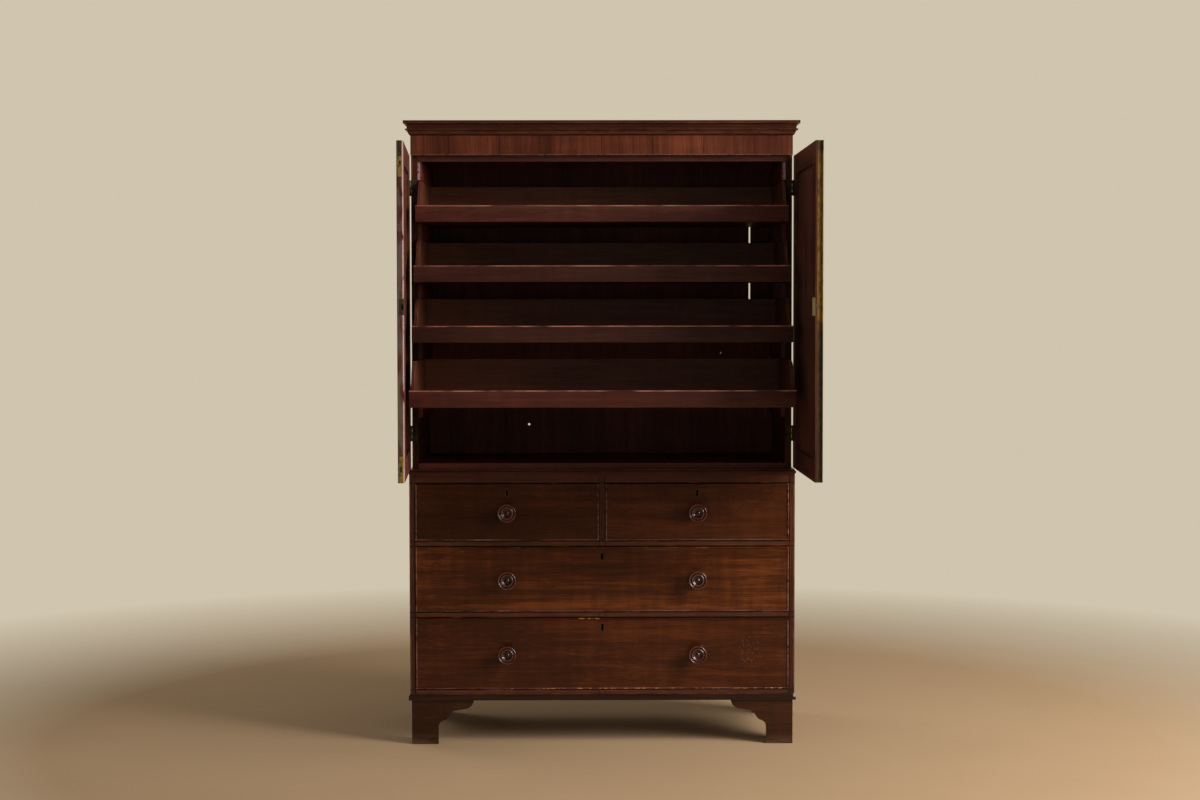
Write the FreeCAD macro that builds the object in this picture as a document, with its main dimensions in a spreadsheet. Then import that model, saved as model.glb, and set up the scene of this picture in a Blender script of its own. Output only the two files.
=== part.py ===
import FreeCAD, Part
import math
import os
import types

import Sketcher
from FreeCAD import Rotation, Vector

# A linen press in two stages: a cupboard with a pair of doors and four sliding
# trays stands on a chest of two short and two long drawers on bracket feet.
# X runs to the right, Y to the back and Z up. The origin lies on the floor, in
# the middle of the chest's width and depth. Lengths are in millimetres.

SIZES = {
    # Chest case
    "chest_width": 1236,
    "chest_depth": 545,
    "chest_side": 18,
    "bottom_rail": 13,
    "low_opening": 232,
    "middle_opening": 211,
    "short_opening": 185,
    "drawer_rail": 18,
    "top_rail": 25,
    "rail_depth": 60,
    "muntin_width": 19.5,
    "chest_top_board": 16,
    "chest_back_board": 12,
    "chest_board_gap": 1,
    "runner_width": 30,
    "middle_runner_width": 60,
    "dust_board": 8,
    "dust_board_drop": 4,
    "partition": 12,
    "stop_length": 40,
    "stop_depth": 15,
    "stop_height": 6,
    # Mouldings and feet of the chest
    "waist_height": 19,
    "waist_projection": 3.5,
    "waist_depth": 66,
    "waist_cove": 4.5,
    "base_height": 22,
    "base_projection": 4.5,
    "base_fillet": 13,
    "foot_height": 143,
    "foot_inset": 5,
    "bracket": 18,
    "bracket_length": 199,
    "bracket_lobe": 25,
    "bracket_lobe_drop": 29,
    "bracket_drop": 35,
    "ogee_length": 40,
    "ogee_drop": 33,
    "toe_cove": 14,
    "toe_drop": 24,
    "foot_width": 85,
    "brace_length": 130,
    "foot_block": 40,
    "foot_block_lift": 5,
    # Drawers
    "drawer_top_gap": 2,
    "drawer_bottom_gap": 1,
    "drawer_side_gap": 1,
    "drawer_end_gap": 13,
    "cockbead": 5,
    "cockbead_proud": 3,
    "drawer_front": 20,
    "drawer_side": 10,
    "drawer_side_drop": 6,
    "drawer_back_drop": 6,
    "drawer_bottom": 7,
    "drawer_bottom_lift": 8,
    "drawer_groove": 5,
    # Knobs
    "knob_radius": 30,
    "knob_stand": 42,
    "knob_base_radius": 15,
    "knob_base": 4,
    "knob_neck_radius": 12,
    "knob_neck": 2,
    "knob_swell": 38,
    "knob_rim": 6,
    "knob_groove": 4,
    "knob_ridge": 5,
    "knob_dish": 6,
    "knob_dish_swell": 24,
    "knob_boss_radius": 6,
    "knob_boss": 2,
    "knob_shank_radius": 8,
    # Keyholes and drawer locks
    "keyhole_radius": 4,
    "keyhole_slot": 6.4,
    "keyhole_height": 20.5,
    "keyhole_drop": 23.5,
    "escutcheon_margin": 2.3,
    "escutcheon": 2,
    "lock_width": 60,
    "lock_height": 46,
    "lock_inlet": 8,
    "lock_stand": 4,
    "bolt_width": 24,
    "bolt": 6,
    "bolt_length": 24,
    "bolt_clearance": 0.15,
    "bolt_travel": 8,
    "mortise_clearance": 1,
    # Cupboard case
    "cupboard_inset": 7.5,
    "cupboard_setback": 40,
    "cupboard_side": 20.5,
    "cupboard_bottom": 18,
    "cupboard_top": 14,
    "cupboard_rail": 20,
    "cupboard_rail_drop": 19,
    "frieze_height": 62,
    "cornice_height": 47,
    "cornice_projection": 22,
    "cornice_rise": 6,
    # Profile of the cornice, from the bottom up
    "cornice_ovolo": 8,
    "cornice_ovolo_height": 14,
    "cornice_step": 17,
    "cornice_bead": 3.5,
    "cornice_bead_out": 15,
    "cornice_neck": 10.5,
    "cornice_neck_height": 29,
    "cornice_cove": 7.5,
    "cornice_fillet": 9,
    "cornice_nose": 2,
    # Panelled back of the cupboard
    "back_frame": 18,
    "back_stile": 74,
    "back_muntin": 60,
    "back_bottom_rail": 72,
    "back_top_rail": 88,
    "back_panel": 9,
    "back_tongue": 5,
    "shrinkage_gap": 6,
    "gap_head_drop": 80,
    "gap_foot_drop": 550,
    "knot_radius": 4,
    "knot_across": 248,
    "knot_up": 1003,
    "nail_hole_radius": 1.2,
    "nail_hole_across": 414,
    "nail_hole_up": 1249,
    # Sliding trays and their runners
    "tray_side_gap": 3,
    "tray_end_gap": 2,
    "tray_head_gap": 3,
    "tray_height": 137,
    "tray_lip": 52,
    "tray_lip_thickness": 12,
    "tray_side": 10.5,
    "tray_bottom": 6,
    "tray_bottom_lift": 3,
    "tray_groove": 4,
    "tray_sweep_start": 44,
    "tray_sweep": 114,
    "first_strip": 59,
    "second_strip": 50,
    "third_strip": 47,
    "fourth_strip": 55,
    "fifth_strip": 50,
    "tray_runner": 12,
    "tray_runner_setback": 10,
    "first_tray_out": 143,
    "second_tray_out": 216,
    "third_tray_out": 286,
    "fourth_tray_out": 403,
    # Doors, turned open about their hinge pins
    "left_door_angle": 86.9,
    "right_door_angle": 90.4,
    "door_height": 999,
    "door": 20,
    "door_foot_gap": 4,
    "door_head_gap": 2,
    "door_meeting_gap": 3,
    "door_back_gap": 0.5,
    "door_stile": 88,
    "door_top_rail": 62,
    "door_bottom_rail": 65,
    "door_panel": 9,
    "door_panel_recess": 7,
    "door_tongue": 8,
    "door_moulding": 14,
    "door_moulding_edge": 2,
    # Butt hinges
    "pin_outboard": 4,
    "pin_radius": 1.6,
    "pin_clearance": 0.05,
    "knuckle_radius": 3.8,
    "knuckle_gap": 0.2,
    "hinge_length": 50,
    "hinge_leaf": 1.8,
    "hinge_leaf_width": 18,
    "lower_hinge_up": 110,
    "upper_hinge_down": 102,
    "screw_head_radius": 2.2,
    "screw_tip_radius": 0.8,
    "screw_length": 14,
    # Flush bolts in the left door's meeting edge
    "bolt_plate": 2,
    "bolt_plate_width": 12,
    "top_bolt_plate": 105,
    "foot_bolt_plate": 78,
    "bolt_plate_inset": 4,
    "flush_bolt_radius": 3,
    "flush_bolt_tail": 12,
    "flush_bolt_depth": 7,
    "flush_bolt_travel": 12,
    "flush_bolt_clearance": 0.3,
    "thumb_radius": 2.4,
    "thumb_proud": 2.5,
    "top_thumb_end": 74,
    "foot_thumb_end": 46,
    "socket_depth": 14,
    "strike_plate": 1.5,
    "strike_plate_width": 15,
    "strike_plate_height": 47,
    # Brass astragal and lock on the right door's meeting edge
    "astragal": 3,
    "astragal_side": 1.5,
    "astragal_half_width": 6,
    "astragal_flange": 2,
    "astragal_flange_width": 14.5,
    "astragal_pin_radius": 1.5,
    "astragal_pin_proud": 0.5,
    "astragal_pin_length": 14,
    "astragal_end_pin": 18,
    "astragal_first_pin": 115,
    "astragal_pin_spacing": 146,
    "door_lock_up": 515,
    "door_lock_height": 54,
    "door_lock_reach": 78,
    "door_lock": 9,
    "door_bolt_height": 14,
    "door_bolt": 5,
    "door_bolt_length": 38,
    "door_bolt_travel": 9,
    "door_key_setback": 24,
}

BACK_BOARDS = 4
ASTRAGAL_MIDDLE_PINS = 6
HINGE_KNUCKLES = 5
SCREWS_PER_LEAF = 3

doc = FreeCAD.newDocument("linen_press")
sheet = doc.addObject("Spreadsheet::Sheet", "Sizes")
for row, (alias, number) in enumerate(SIZES.items(), start=1):
    sheet.set(f"A{row}", alias)
    sheet.set(f"B{row}", str(number))
    sheet.setAlias(f"B{row}", alias)
doc.recompute()


class Length:
    """A size from the sheet, or one worked out from it: its expression and its present value."""

    def __init__(self, text, value):
        self.text = text
        self.value = value

    @staticmethod
    def of(thing):
        if isinstance(thing, Length):
            return thing
        return Length(f"({thing})", float(thing))

    def __add__(self, other):
        other = Length.of(other)
        return Length(f"({self.text} + {other.text})", self.value + other.value)

    def __sub__(self, other):
        other = Length.of(other)
        return Length(f"({self.text} - {other.text})", self.value - other.value)

    def __mul__(self, other):
        other = Length.of(other)
        return Length(f"({self.text} * {other.text})", self.value * other.value)

    def __truediv__(self, other):
        other = Length.of(other)
        return Length(f"({self.text} / {other.text})", self.value / other.value)

    def __radd__(self, other):
        return Length.of(other) + self

    def __rsub__(self, other):
        return Length.of(other) - self

    def __rmul__(self, other):
        return Length.of(other) * self

    def __neg__(self):
        return Length(f"(-1 * {self.text})", -self.value)


size = types.SimpleNamespace(**{alias: Length(f"Sizes.{alias}", float(sheet.get(alias))) for alias in SIZES})


# Ways of making a piece. Each returns an object of the document whose sizes and
# place are bound to the sheet.

def board(x, y, z):
    """A board between two places along each axis, in either order."""
    box = doc.addObject("Part::Box", "board")
    for axis, side, ends in (("x", "Length", x), ("y", "Width", y), ("z", "Height", z)):
        low, high = sorted((Length.of(ends[0]), Length.of(ends[1])), key=lambda end: end.value)
        box.setExpression(side, (high - low).text)
        box.setExpression(f"Placement.Base.{axis}", low.text)
    return box


def put(piece, x, y, z):
    """Bind the place of a piece."""
    for axis, place in (("x", x), ("y", y), ("z", z)):
        piece.setExpression(f"Placement.Base.{axis}", Length.of(place).text)
    return piece


ALONG = {
    "x": Rotation(Vector(0, 1, 0), 90),
    "y": Rotation(Vector(1, 0, 0), -90),
    "z": Rotation(),
    "-x": Rotation(Vector(0, 1, 0), -90),
    "-y": Rotation(Vector(1, 0, 0), 90),
}


def rod(radius, x, y, z, along, length):
    """A round rod that starts at a point and runs along an axis."""
    cylinder = doc.addObject("Part::Cylinder", "rod")
    cylinder.Placement.Rotation = ALONG[along]
    cylinder.setExpression("Radius", Length.of(radius).text)
    cylinder.setExpression("Height", Length.of(length).text)
    return put(cylinder, x, y, z)


def screw(x, y, z, along):
    """A wood screw whose flat head starts at a point."""
    cone = doc.addObject("Part::Cone", "screw")
    cone.Placement.Rotation = ALONG[along]
    cone.setExpression("Radius1", size.screw_head_radius.text)
    cone.setExpression("Radius2", size.screw_tip_radius.text)
    cone.setExpression("Height", size.screw_length.text)
    return put(cone, x, y, z)


def group(*pieces):
    """Several pieces taken together."""
    if len(pieces) == 1:
        return pieces[0]
    compound = doc.addObject("Part::Compound", "group")
    compound.Links = list(pieces)
    return compound


def cut(base, *tools):
    """A piece with the space of others taken out of it."""
    result = doc.addObject("Part::Cut", "cut")
    result.Base = base
    result.Tool = group(*tools)
    return result


def fuse(*pieces):
    """Several forms made one solid."""
    result = doc.addObject("Part::MultiFuse", "fuse")
    result.Shapes = list(pieces)
    return result


def common(first, second):
    """What two forms share."""
    result = doc.addObject("Part::Common", "common")
    result.Base = first
    result.Tool = second
    return result


def arc(start, end, radius):
    """The short arc between two points, bulging to the left of its path, or to the right if negative."""
    chord = end - start
    side = Vector(-chord.y, chord.x, 0)
    side.normalize()
    rise = abs(radius) - math.sqrt(radius * radius - chord.Length * chord.Length / 4)
    return Part.ArcOfCircle(start, (start + end) / 2 + side * math.copysign(rise, radius), end)


def draw(sketch, outline):
    """Draw a closed outline of (across, up) corners; a third entry makes the side that ends there an arc."""
    corners = [(Length.of(corner[0]), Length.of(corner[1])) for corner in outline]
    places = [Vector(across.value, up.value, 0) for across, up in corners]
    ends = []
    for index, corner in enumerate(outline):
        start = places[index - 1]
        if len(corner) == 3:
            sketch.addGeometry(arc(start, places[index], corner[2].value), False)
        else:
            sketch.addGeometry(Part.LineSegment(start, places[index]), False)
        forwards = sketch.getPoint(index, 1).distanceToPoint(start) < sketch.getPoint(index, 2).distanceToPoint(start)
        ends.append((1, 2) if forwards else (2, 1))
    for index, corner in enumerate(outline):
        after = (index + 1) % len(outline)
        across, up = corners[index]
        last = ends[index][1]
        sketch.addConstraint(Sketcher.Constraint("Coincident", index, last, after, ends[after][0]))
        bound = [("DistanceX", across), ("DistanceY", up)]
        for kind, place in bound:
            constraint = sketch.addConstraint(Sketcher.Constraint(kind, -1, 1, index, last, place.value))
            sketch.setExpression(f"Constraints[{constraint}]", place.text)
        if len(corner) == 3:
            radius = corner[2] if corner[2].value > 0 else -corner[2]
            constraint = sketch.addConstraint(Sketcher.Constraint("Radius", index, radius.value))
            sketch.setExpression(f"Constraints[{constraint}]", radius.text)


def sketched_body(name, plane, outline):
    """A body with one closed sketch on one of its own origin planes."""
    body = doc.addObject("PartDesign::Body", name)
    sketch = body.newObject("Sketcher::SketchObject", name + "_outline")
    face = next(feature for feature in body.Origin.OriginFeatures if feature.Role == plane)
    sketch.AttachmentSupport = [(face, "")]
    sketch.MapMode = "FlatFace"
    draw(sketch, outline)
    return body, sketch


def sawn(name, across_axis, outline, ends):
    """A length of wood or brass: an outline drawn across one axis and run between two places along it."""
    plane = {"x": "YZ_Plane", "y": "XZ_Plane", "z": "XY_Plane"}[across_axis]
    low, high = sorted((Length.of(ends[0]), Length.of(ends[1])), key=lambda end: end.value)
    body, sketch = sketched_body(name, plane, outline)
    pad = body.newObject("PartDesign::Pad", name + "_pad")
    pad.Profile = sketch
    pad.setExpression("Length", (high - low).text)
    start = high if across_axis == "y" else low
    body.setExpression(f"Placement.Base.{across_axis}", start.text)
    return body


def turned(name, outline):
    """A turning about the Y axis: an outline of (along, radius) corners."""
    body, sketch = sketched_body(name, "YZ_Plane", outline)
    revolution = body.newObject("PartDesign::Revolution", name + "_turning")
    revolution.Profile = sketch
    revolution.ReferenceAxis = (sketch, ["H_Axis"])
    revolution.Angle = 360
    return body


NODES = {}


def node(label, *pieces):
    """Name a sub-part, which is one piece or several separate ones."""
    part = group(*pieces)
    part.Label = label
    NODES[label] = part
    return part


def side_sign(side):
    return {"left": -1, "right": 1}[side]


# Levels and faces that the pieces share.

chest_half = size.chest_width / 2
chest_inner = chest_half - size.chest_side
chest_front = -size.chest_depth / 2
chest_back = size.chest_depth / 2
chest_inside_back = chest_back - size.chest_back_board
rail_back = chest_front + size.rail_depth
muntin_half = size.muntin_width / 2

base_top = size.foot_height + size.base_height
low_floor = base_top + size.bottom_rail
low_head = low_floor + size.low_opening
middle_floor = low_head + size.drawer_rail
middle_head = middle_floor + size.middle_opening
short_floor = middle_head + size.drawer_rail
short_head = short_floor + size.short_opening
chest_top = short_head + size.top_rail
waist_top = chest_top + size.waist_height

case_half = chest_half - size.cupboard_inset
case_inner = case_half - size.cupboard_side
case_back = chest_back
case_front = chest_front + size.cupboard_setback
case_inside_back = case_back - size.back_frame
door_foot = waist_top + size.door_foot_gap
door_head = door_foot + size.door_height
frieze_foot = door_head + size.door_head_gap
cornice_foot = frieze_foot + size.frieze_height
cornice_top = cornice_foot + size.cornice_height
case_lid_top = cornice_top - size.cornice_rise
case_lid_foot = case_lid_top - size.cupboard_top
frieze_front = case_front - size.door - size.door_back_gap
cupboard_floor = waist_top + size.cupboard_bottom


# Mouldings: three lengths with mitred corners round the front and the sides of
# a case. A profile is a list of (out from the case's face, up) corners.

def moulding(name, profile, half, front, back, foot, depth, outermost):
    """The mitred front and side lengths of a moulding."""
    def along_front(corner):
        return (front - corner[0], foot + corner[1], *corner[2:])

    def along_side(sign, corner):
        bulge = [radius * sign for radius in corner[2:]]
        return ((half + corner[0]) * sign, foot + corner[1], *bulge)

    outer_half = half + outermost
    inner_half = half - depth
    outer_front = front - outermost
    inner_front = front + depth
    top = foot + max((Length.of(corner[1]) for corner in profile), key=lambda height: height.value)
    plan = [(-outer_half, outer_front), (outer_half, outer_front), (inner_half, inner_front), (-inner_half, inner_front)]
    mirrored = [(corner[0], corner[1], *[-radius for radius in corner[2:]]) for corner in profile]
    lengths = [common(
        sawn(name + "_front_run", "x", [along_front(corner) for corner in mirrored], (-outer_half, outer_half)),
        sawn(name + "_front_plan", "z", plan, (foot, top)),
    )]
    for side in ("left", "right"):
        sign = side_sign(side)
        run = sawn(name + "_side_run", "y", [along_side(sign, corner) for corner in profile], (outer_front, back))
        plan = [
            (outer_half * sign, outer_front),
            (outer_half * sign, back),
            (inner_half * sign, back),
            (inner_half * sign, inner_front),
        ]
        lengths.append(common(run, sawn(name + "_side_plan", "z", plan, (foot, top))))
    return lengths


waist_profile = [
    (-size.waist_depth, 0),
    (0, 0),
    (0, size.waist_height / 6),
    (size.waist_projection, size.waist_height / 6 + size.waist_projection, size.waist_projection),
    (size.waist_projection, size.waist_height * 0.7),
    (size.waist_projection - size.waist_cove, size.waist_height * 0.7 + size.waist_cove, size.waist_cove),
    (size.waist_projection - size.waist_cove, size.waist_height),
    (-size.waist_depth, size.waist_height),
]
base_profile = [
    (0, 0),
    (size.base_projection, 0),
    (size.base_projection, size.base_fillet),
    (size.base_projection / 4, size.base_height, size.base_height - size.base_fillet),
    (0, size.base_height),
]
cornice_cove_foot = size.cornice_height - size.cornice_fillet - size.cornice_cove
cornice_profile = [
    (0, 0),
    (size.cornice_ovolo, size.cornice_ovolo_height, -size.cornice_ovolo_height),
    (size.cornice_ovolo, size.cornice_step),
    (size.cornice_bead_out, size.cornice_step),
    (size.cornice_bead_out, size.cornice_step + size.cornice_bead, -size.cornice_bead * 0.51),
    (size.cornice_neck, size.cornice_step + size.cornice_bead * 1.5),
    (size.cornice_neck, cornice_cove_foot),
    (size.cornice_neck + size.cornice_cove, cornice_cove_foot + size.cornice_cove, size.cornice_cove),
    (size.cornice_projection, size.cornice_height - size.cornice_fillet),
    (size.cornice_projection, size.cornice_height - size.cornice_nose),
    (size.cornice_projection - size.cornice_nose, size.cornice_height, -size.cornice_nose),
    (0, size.cornice_height),
]


# Chest case: two sides, a top and a bottom board, and a back of four boards.

def chest_case():
    for side in ("left", "right"):
        sign = side_sign(side)
        node(
            f"chest_side_{side}",
            board((chest_inner * sign, chest_half * sign), (chest_front, chest_back), (size.foot_height, chest_top)),
        )
    across = (-chest_inner, chest_inner)
    node("chest_top_board", board(across, (rail_back, chest_inside_back), (chest_top - size.chest_top_board, chest_top)))
    node("chest_bottom_board", board(across, (rail_back, chest_inside_back), (base_top, low_floor)))
    gaps = size.chest_board_gap * (BACK_BOARDS - 1)
    board_height = (chest_top - size.foot_height - gaps) / BACK_BOARDS
    pitch = board_height + size.chest_board_gap
    boards = []
    for index in range(BACK_BOARDS):
        foot = size.foot_height + pitch * index
        boards.append(board(across, (chest_inside_back, chest_back), (foot, foot + board_height)))
    node("chest_back_boards", *boards)


# The front rails between the drawers, the muntin between the short drawers, and
# the runners, dust boards, partition and stops behind them.

def bolt_mortise(x, floor_of_rail):
    """The mortise that a drawer's lock bolt enters in the rail above it."""
    half = size.bolt_width / 2 + size.mortise_clearance
    depth = size.bolt_travel - size.drawer_top_gap + size.mortise_clearance
    return board(
        (x - half, x + half),
        (bolt_front - size.mortise_clearance, bolt_back + size.mortise_clearance),
        (floor_of_rail, floor_of_rail + depth),
    )


def drawer_divisions():
    across = (-chest_inner, chest_inner)
    deep = (chest_front, rail_back)
    bottom_rail = board(across, deep, (size.foot_height, low_floor))
    low_rail = cut(board(across, deep, (low_head, middle_floor)), bolt_mortise(Length.of(0), low_head))
    middle_rail = cut(board(across, deep, (middle_head, short_floor)), bolt_mortise(Length.of(0), middle_head))
    top_rail = cut(
        board(across, deep, (short_head, chest_top)),
        bolt_mortise(-short_centre, short_head),
        bolt_mortise(short_centre, short_head),
    )
    muntin = board((-muntin_half, muntin_half), deep, (short_floor, short_head))
    node("drawer_rails", bottom_rail, low_rail, middle_rail, top_rail, muntin)

    behind = (rail_back, chest_inside_back)
    partition_half = size.partition / 2
    partition = board((-partition_half, partition_half), behind, (short_floor, chest_top - size.chest_top_board))
    middle_half = size.middle_runner_width / 2
    runners = [partition, board((-middle_half, middle_half), behind, (middle_head, short_floor))]
    runner_inner = chest_inner - size.runner_width
    for foot, top in ((low_head, middle_floor), (middle_head, short_floor)):
        for sign in (-1, 1):
            runners.append(board((runner_inner * sign, chest_inner * sign), behind, (foot, top)))

    def dust_board(x, top):
        high = top - size.dust_board_drop
        return board(x, behind, (high - size.dust_board, high))

    node(
        "dust_boards",
        dust_board((-runner_inner, runner_inner), middle_floor),
        dust_board((-runner_inner, -middle_half), short_floor),
        dust_board((middle_half, runner_inner), short_floor),
    )

    stop_front = chest_front + size.drawer_front
    for floor, places in (
        (low_floor, (-short_centre, short_centre)),
        (middle_floor, (-short_centre, short_centre)),
        (short_floor, (-short_centre * 1.5, -short_centre / 2, short_centre / 2, short_centre * 1.5)),
    ):
        for place in places:
            runners.append(board(
                (place - size.stop_length / 2, place + size.stop_length / 2),
                (stop_front, stop_front + size.stop_depth),
                (floor, floor + size.stop_height),
            ))
    node("drawer_runners", *runners)


# Bracket feet: shaped brackets on the front and sides, plain braces at the
# back, and a glue block in each corner.

def bracket_outline(place, inner_end):
    """A shaped bracket: place turns (in from the corner, down from the top) into a corner of the outline."""
    foot = size.foot_width
    shelf_in = foot + size.toe_cove + size.ogee_length
    ogee_middle = (foot + size.toe_cove + size.ogee_length / 2, size.bracket_drop + size.ogee_drop / 2)
    ogee_radius = size.ogee_drop * 0.85
    toe_in = foot + size.toe_cove
    toe_down = size.bracket_drop + size.ogee_drop
    return [
        place(inner_end, 0),
        place(size.bracket_length, 0),
        place(size.bracket_length - size.bracket_lobe, size.bracket_lobe_drop, size.bracket_lobe_drop),
        place(shelf_in, size.bracket_drop),
        place(*ogee_middle, -ogee_radius),
        place(toe_in, toe_down, ogee_radius),
        place(foot, toe_down + size.toe_drop, -size.toe_drop),
        place(foot, size.foot_height),
        place(inner_end, size.foot_height),
    ]


def feet():
    corner_half = chest_half - size.foot_inset
    corner_front = chest_front + size.foot_inset
    side_inner = corner_half - size.bracket
    front_inner = corner_front + size.bracket
    top = size.foot_height
    front_feet = []
    back_feet = []
    blocks = []
    for sign in (-1, 1):
        def on_front(inward, down, *radius):
            return ((corner_half - inward) * sign, top - down, *[bulge * -sign for bulge in radius])

        def on_front_side(inward, down, *radius):
            return (corner_front + inward, top - down, *radius)

        def on_back_side(inward, down, *radius):
            return (chest_back - inward, top - down, *[-bulge for bulge in radius])

        side_faces = (side_inner * sign, corner_half * sign)
        front_outline = bracket_outline(on_front, Length.of(0))
        front_feet.append(sawn("front_bracket", "y", front_outline, (corner_front, front_inner)))
        side_outline = bracket_outline(on_front_side, size.bracket)
        front_feet.append(sawn("side_bracket", "x", side_outline, side_faces))
        back_outline = bracket_outline(on_back_side, Length.of(0))
        back_feet.append(sawn("back_bracket", "x", back_outline, side_faces))
        brace = [
            (side_inner * sign, top),
            ((corner_half - size.brace_length) * sign, top),
            ((corner_half - size.foot_width) * sign, 0),
            (side_inner * sign, 0),
        ]
        back_feet.append(sawn("back_brace", "y", brace, (chest_back - size.bracket, chest_back)))
        block_x = ((side_inner - size.foot_block) * sign, side_inner * sign)
        block_front = (front_inner, front_inner + size.foot_block)
        brace_front = chest_back - size.bracket
        block_back = (brace_front - size.foot_block, brace_front)
        blocks.append(board(block_x, block_front, (size.foot_block_lift, top)))
        blocks.append(board(block_x, block_back, (size.foot_block_lift, base_top)))
    node("feet_front", *front_feet)
    node("feet_back", *back_feet)
    node("foot_blocks", *blocks)


# Keyholes: a round head over a straight slot, lined by a brass escutcheon.

def keyhole(x, y, z, margin):
    """The form of a keyhole whose head is centred at (x, z), widened all round by a margin."""
    head = size.keyhole_radius + margin
    half_slot = size.keyhole_slot / 2 + margin
    low, high = sorted(y, key=lambda end: end.value)
    foot = z + size.keyhole_radius - size.keyhole_height - margin
    return fuse(rod(head, x, low, z, "y", high - low), board((x - half_slot, x + half_slot), (low, high), (foot, z)))


# Knobs: turned from one piece with the shank that passes through the drawer's front.

def knob(x, face, z):
    radius = size.knob_radius
    neck_end = size.knob_base + size.knob_neck
    half_rim = size.knob_rim / 2
    floor = size.knob_stand - half_rim
    rim_inner = radius - size.knob_rim
    ridge_outer = rim_inner - size.knob_groove
    ridge_inner = ridge_outer - size.knob_ridge
    dish_floor = size.knob_stand - size.knob_dish
    boss = size.knob_boss_radius
    boss_swell = (boss * boss + size.knob_boss * size.knob_boss) / (size.knob_boss * 2)
    outline = [
        (size.drawer_front, 0),
        (size.drawer_front, size.knob_shank_radius),
        (0, size.knob_shank_radius),
        (0, size.knob_base_radius),
        (-size.knob_base, size.knob_base_radius),
        (-neck_end, size.knob_neck_radius),
        (-floor, radius, -size.knob_swell),
        (-size.knob_stand, radius - half_rim, -half_rim),
        (-floor, rim_inner, -half_rim),
        (-floor, ridge_outer),
        (-floor, ridge_inner, -size.knob_ridge * 0.55),
        (-dish_floor, boss, size.knob_dish_swell),
        (-dish_floor - size.knob_boss, 0, -boss_swell),
    ]
    return put(turned("knob", outline), x, face, z)


# Drawers: a front edged with cockbead, two sides, a back and a bottom in
# grooves, turned knobs, and a lock with a sliding bolt at the middle of the top.

front_back_face = chest_front + size.drawer_front
bolt_middle = front_back_face - (size.lock_inlet - size.lock_stand) / 2
bolt_front = bolt_middle - size.bolt / 2
bolt_back = bolt_middle + size.bolt / 2
short_centre = (muntin_half + chest_inner) / 2


def drawer(label, opening, floor, head, knob_places, lock_place):
    left = opening[0] + size.drawer_side_gap
    right = opening[1] - size.drawer_side_gap
    foot = floor + size.drawer_bottom_gap
    top = head - size.drawer_top_gap
    face = chest_front
    bead_front = face - size.cockbead_proud
    knob_height = (foot + top) / 2
    key_height = top - size.keyhole_drop

    lock_x = (lock_place - size.lock_width / 2, lock_place + size.lock_width / 2)
    lock_y = (front_back_face - size.lock_inlet, front_back_face + size.lock_stand)
    lock_space = board(lock_x, lock_y, (top - size.lock_height, top))
    key_inside = (face, front_back_face - size.lock_inlet)
    key_space = keyhole(lock_place, key_inside, key_height, Length.of(0))
    plate_space = keyhole(lock_place, (face, face + size.escutcheon), key_height, size.escutcheon_margin)
    knobs = [knob(place, face, knob_height) for place in knob_places]

    side_top = top - size.drawer_side_drop
    side_back = chest_inside_back - size.drawer_end_gap
    bottom_foot = floor + size.drawer_bottom_lift
    bottom_top = bottom_foot + size.drawer_bottom
    inner_left = left + size.drawer_side
    inner_right = right - size.drawer_side
    bottom = board(
        (inner_left - size.drawer_groove, inner_right + size.drawer_groove),
        (front_back_face - size.drawer_groove, side_back),
        (bottom_foot, bottom_top),
    )
    side_y = (front_back_face, side_back)
    back = board(
        (inner_left, inner_right),
        (side_back - size.drawer_side, side_back),
        (bottom_top, side_top - size.drawer_back_drop),
    )
    node(
        f"{label}_box",
        cut(board((left, inner_left), side_y, (floor, side_top)), bottom),
        cut(board((inner_right, right), side_y, (floor, side_top)), bottom),
        back,
        bottom,
    )

    bead = size.cockbead
    front_blank = board((left + bead, right - bead), (face, front_back_face), (foot + bead, top - bead))
    front = cut(front_blank, lock_space, key_space, plate_space, bottom, *knobs)
    bead_y = (bead_front, front_back_face)
    nose = size.cockbead * 0.51
    half_round = bead_front + size.cockbead / 2

    def flat_bead(low):
        return [
            (front_back_face, low),
            (front_back_face, low + bead),
            (half_round, low + bead),
            (half_round, low, -nose),
        ]

    def upright_bead(low):
        return [
            (low, front_back_face),
            (low, half_round),
            (low + bead, half_round, -nose),
            (low + bead, front_back_face),
        ]

    top_bead = cut(sawn("top_bead", "x", flat_bead(top - bead), (left, right)), lock_space)
    foot_bead = sawn("foot_bead", "x", flat_bead(foot), (left, right))
    left_bead = sawn("left_bead", "z", upright_bead(left), (foot + bead, top - bead))
    right_bead = sawn("right_bead", "z", upright_bead(right - bead), (foot + bead, top - bead))
    node(f"{label}_front", front, top_bead, foot_bead, left_bead, right_bead)
    node(f"{label}_knobs", *knobs)

    clearance = size.bolt_clearance
    half_bolt = size.bolt_width / 2
    bolt_space = board(
        (lock_place - half_bolt - clearance, lock_place + half_bolt + clearance),
        (bolt_front - clearance, bolt_back + clearance),
        (top - size.bolt_length - clearance, top),
    )
    node(f"{label}_lock", cut(lock_space, bolt_space), cut(plate_space, key_space))
    node(
        f"{label}_lock_bolt",
        board(
            (lock_place - half_bolt, lock_place + half_bolt),
            (bolt_front, bolt_back),
            (top - size.bolt_length, top),
        ),
    )


# Cupboard case: sides, bottom, lid and front rail, the crossbanded frieze in
# front of it, and the panelled back.

def bolt_socket(z, depth_up):
    """The socket that a flush bolt of the left door enters, above or below it."""
    hole = size.flush_bolt_radius + size.mortise_clearance
    x = -size.door_meeting_gap / 2 - size.flush_bolt_depth
    y = case_front - size.door_back_gap - size.bolt_plate_inset - size.bolt_plate_width / 2
    start = z if depth_up else z - size.socket_depth
    return rod(hole, x, y, start, "z", size.socket_depth)


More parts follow.
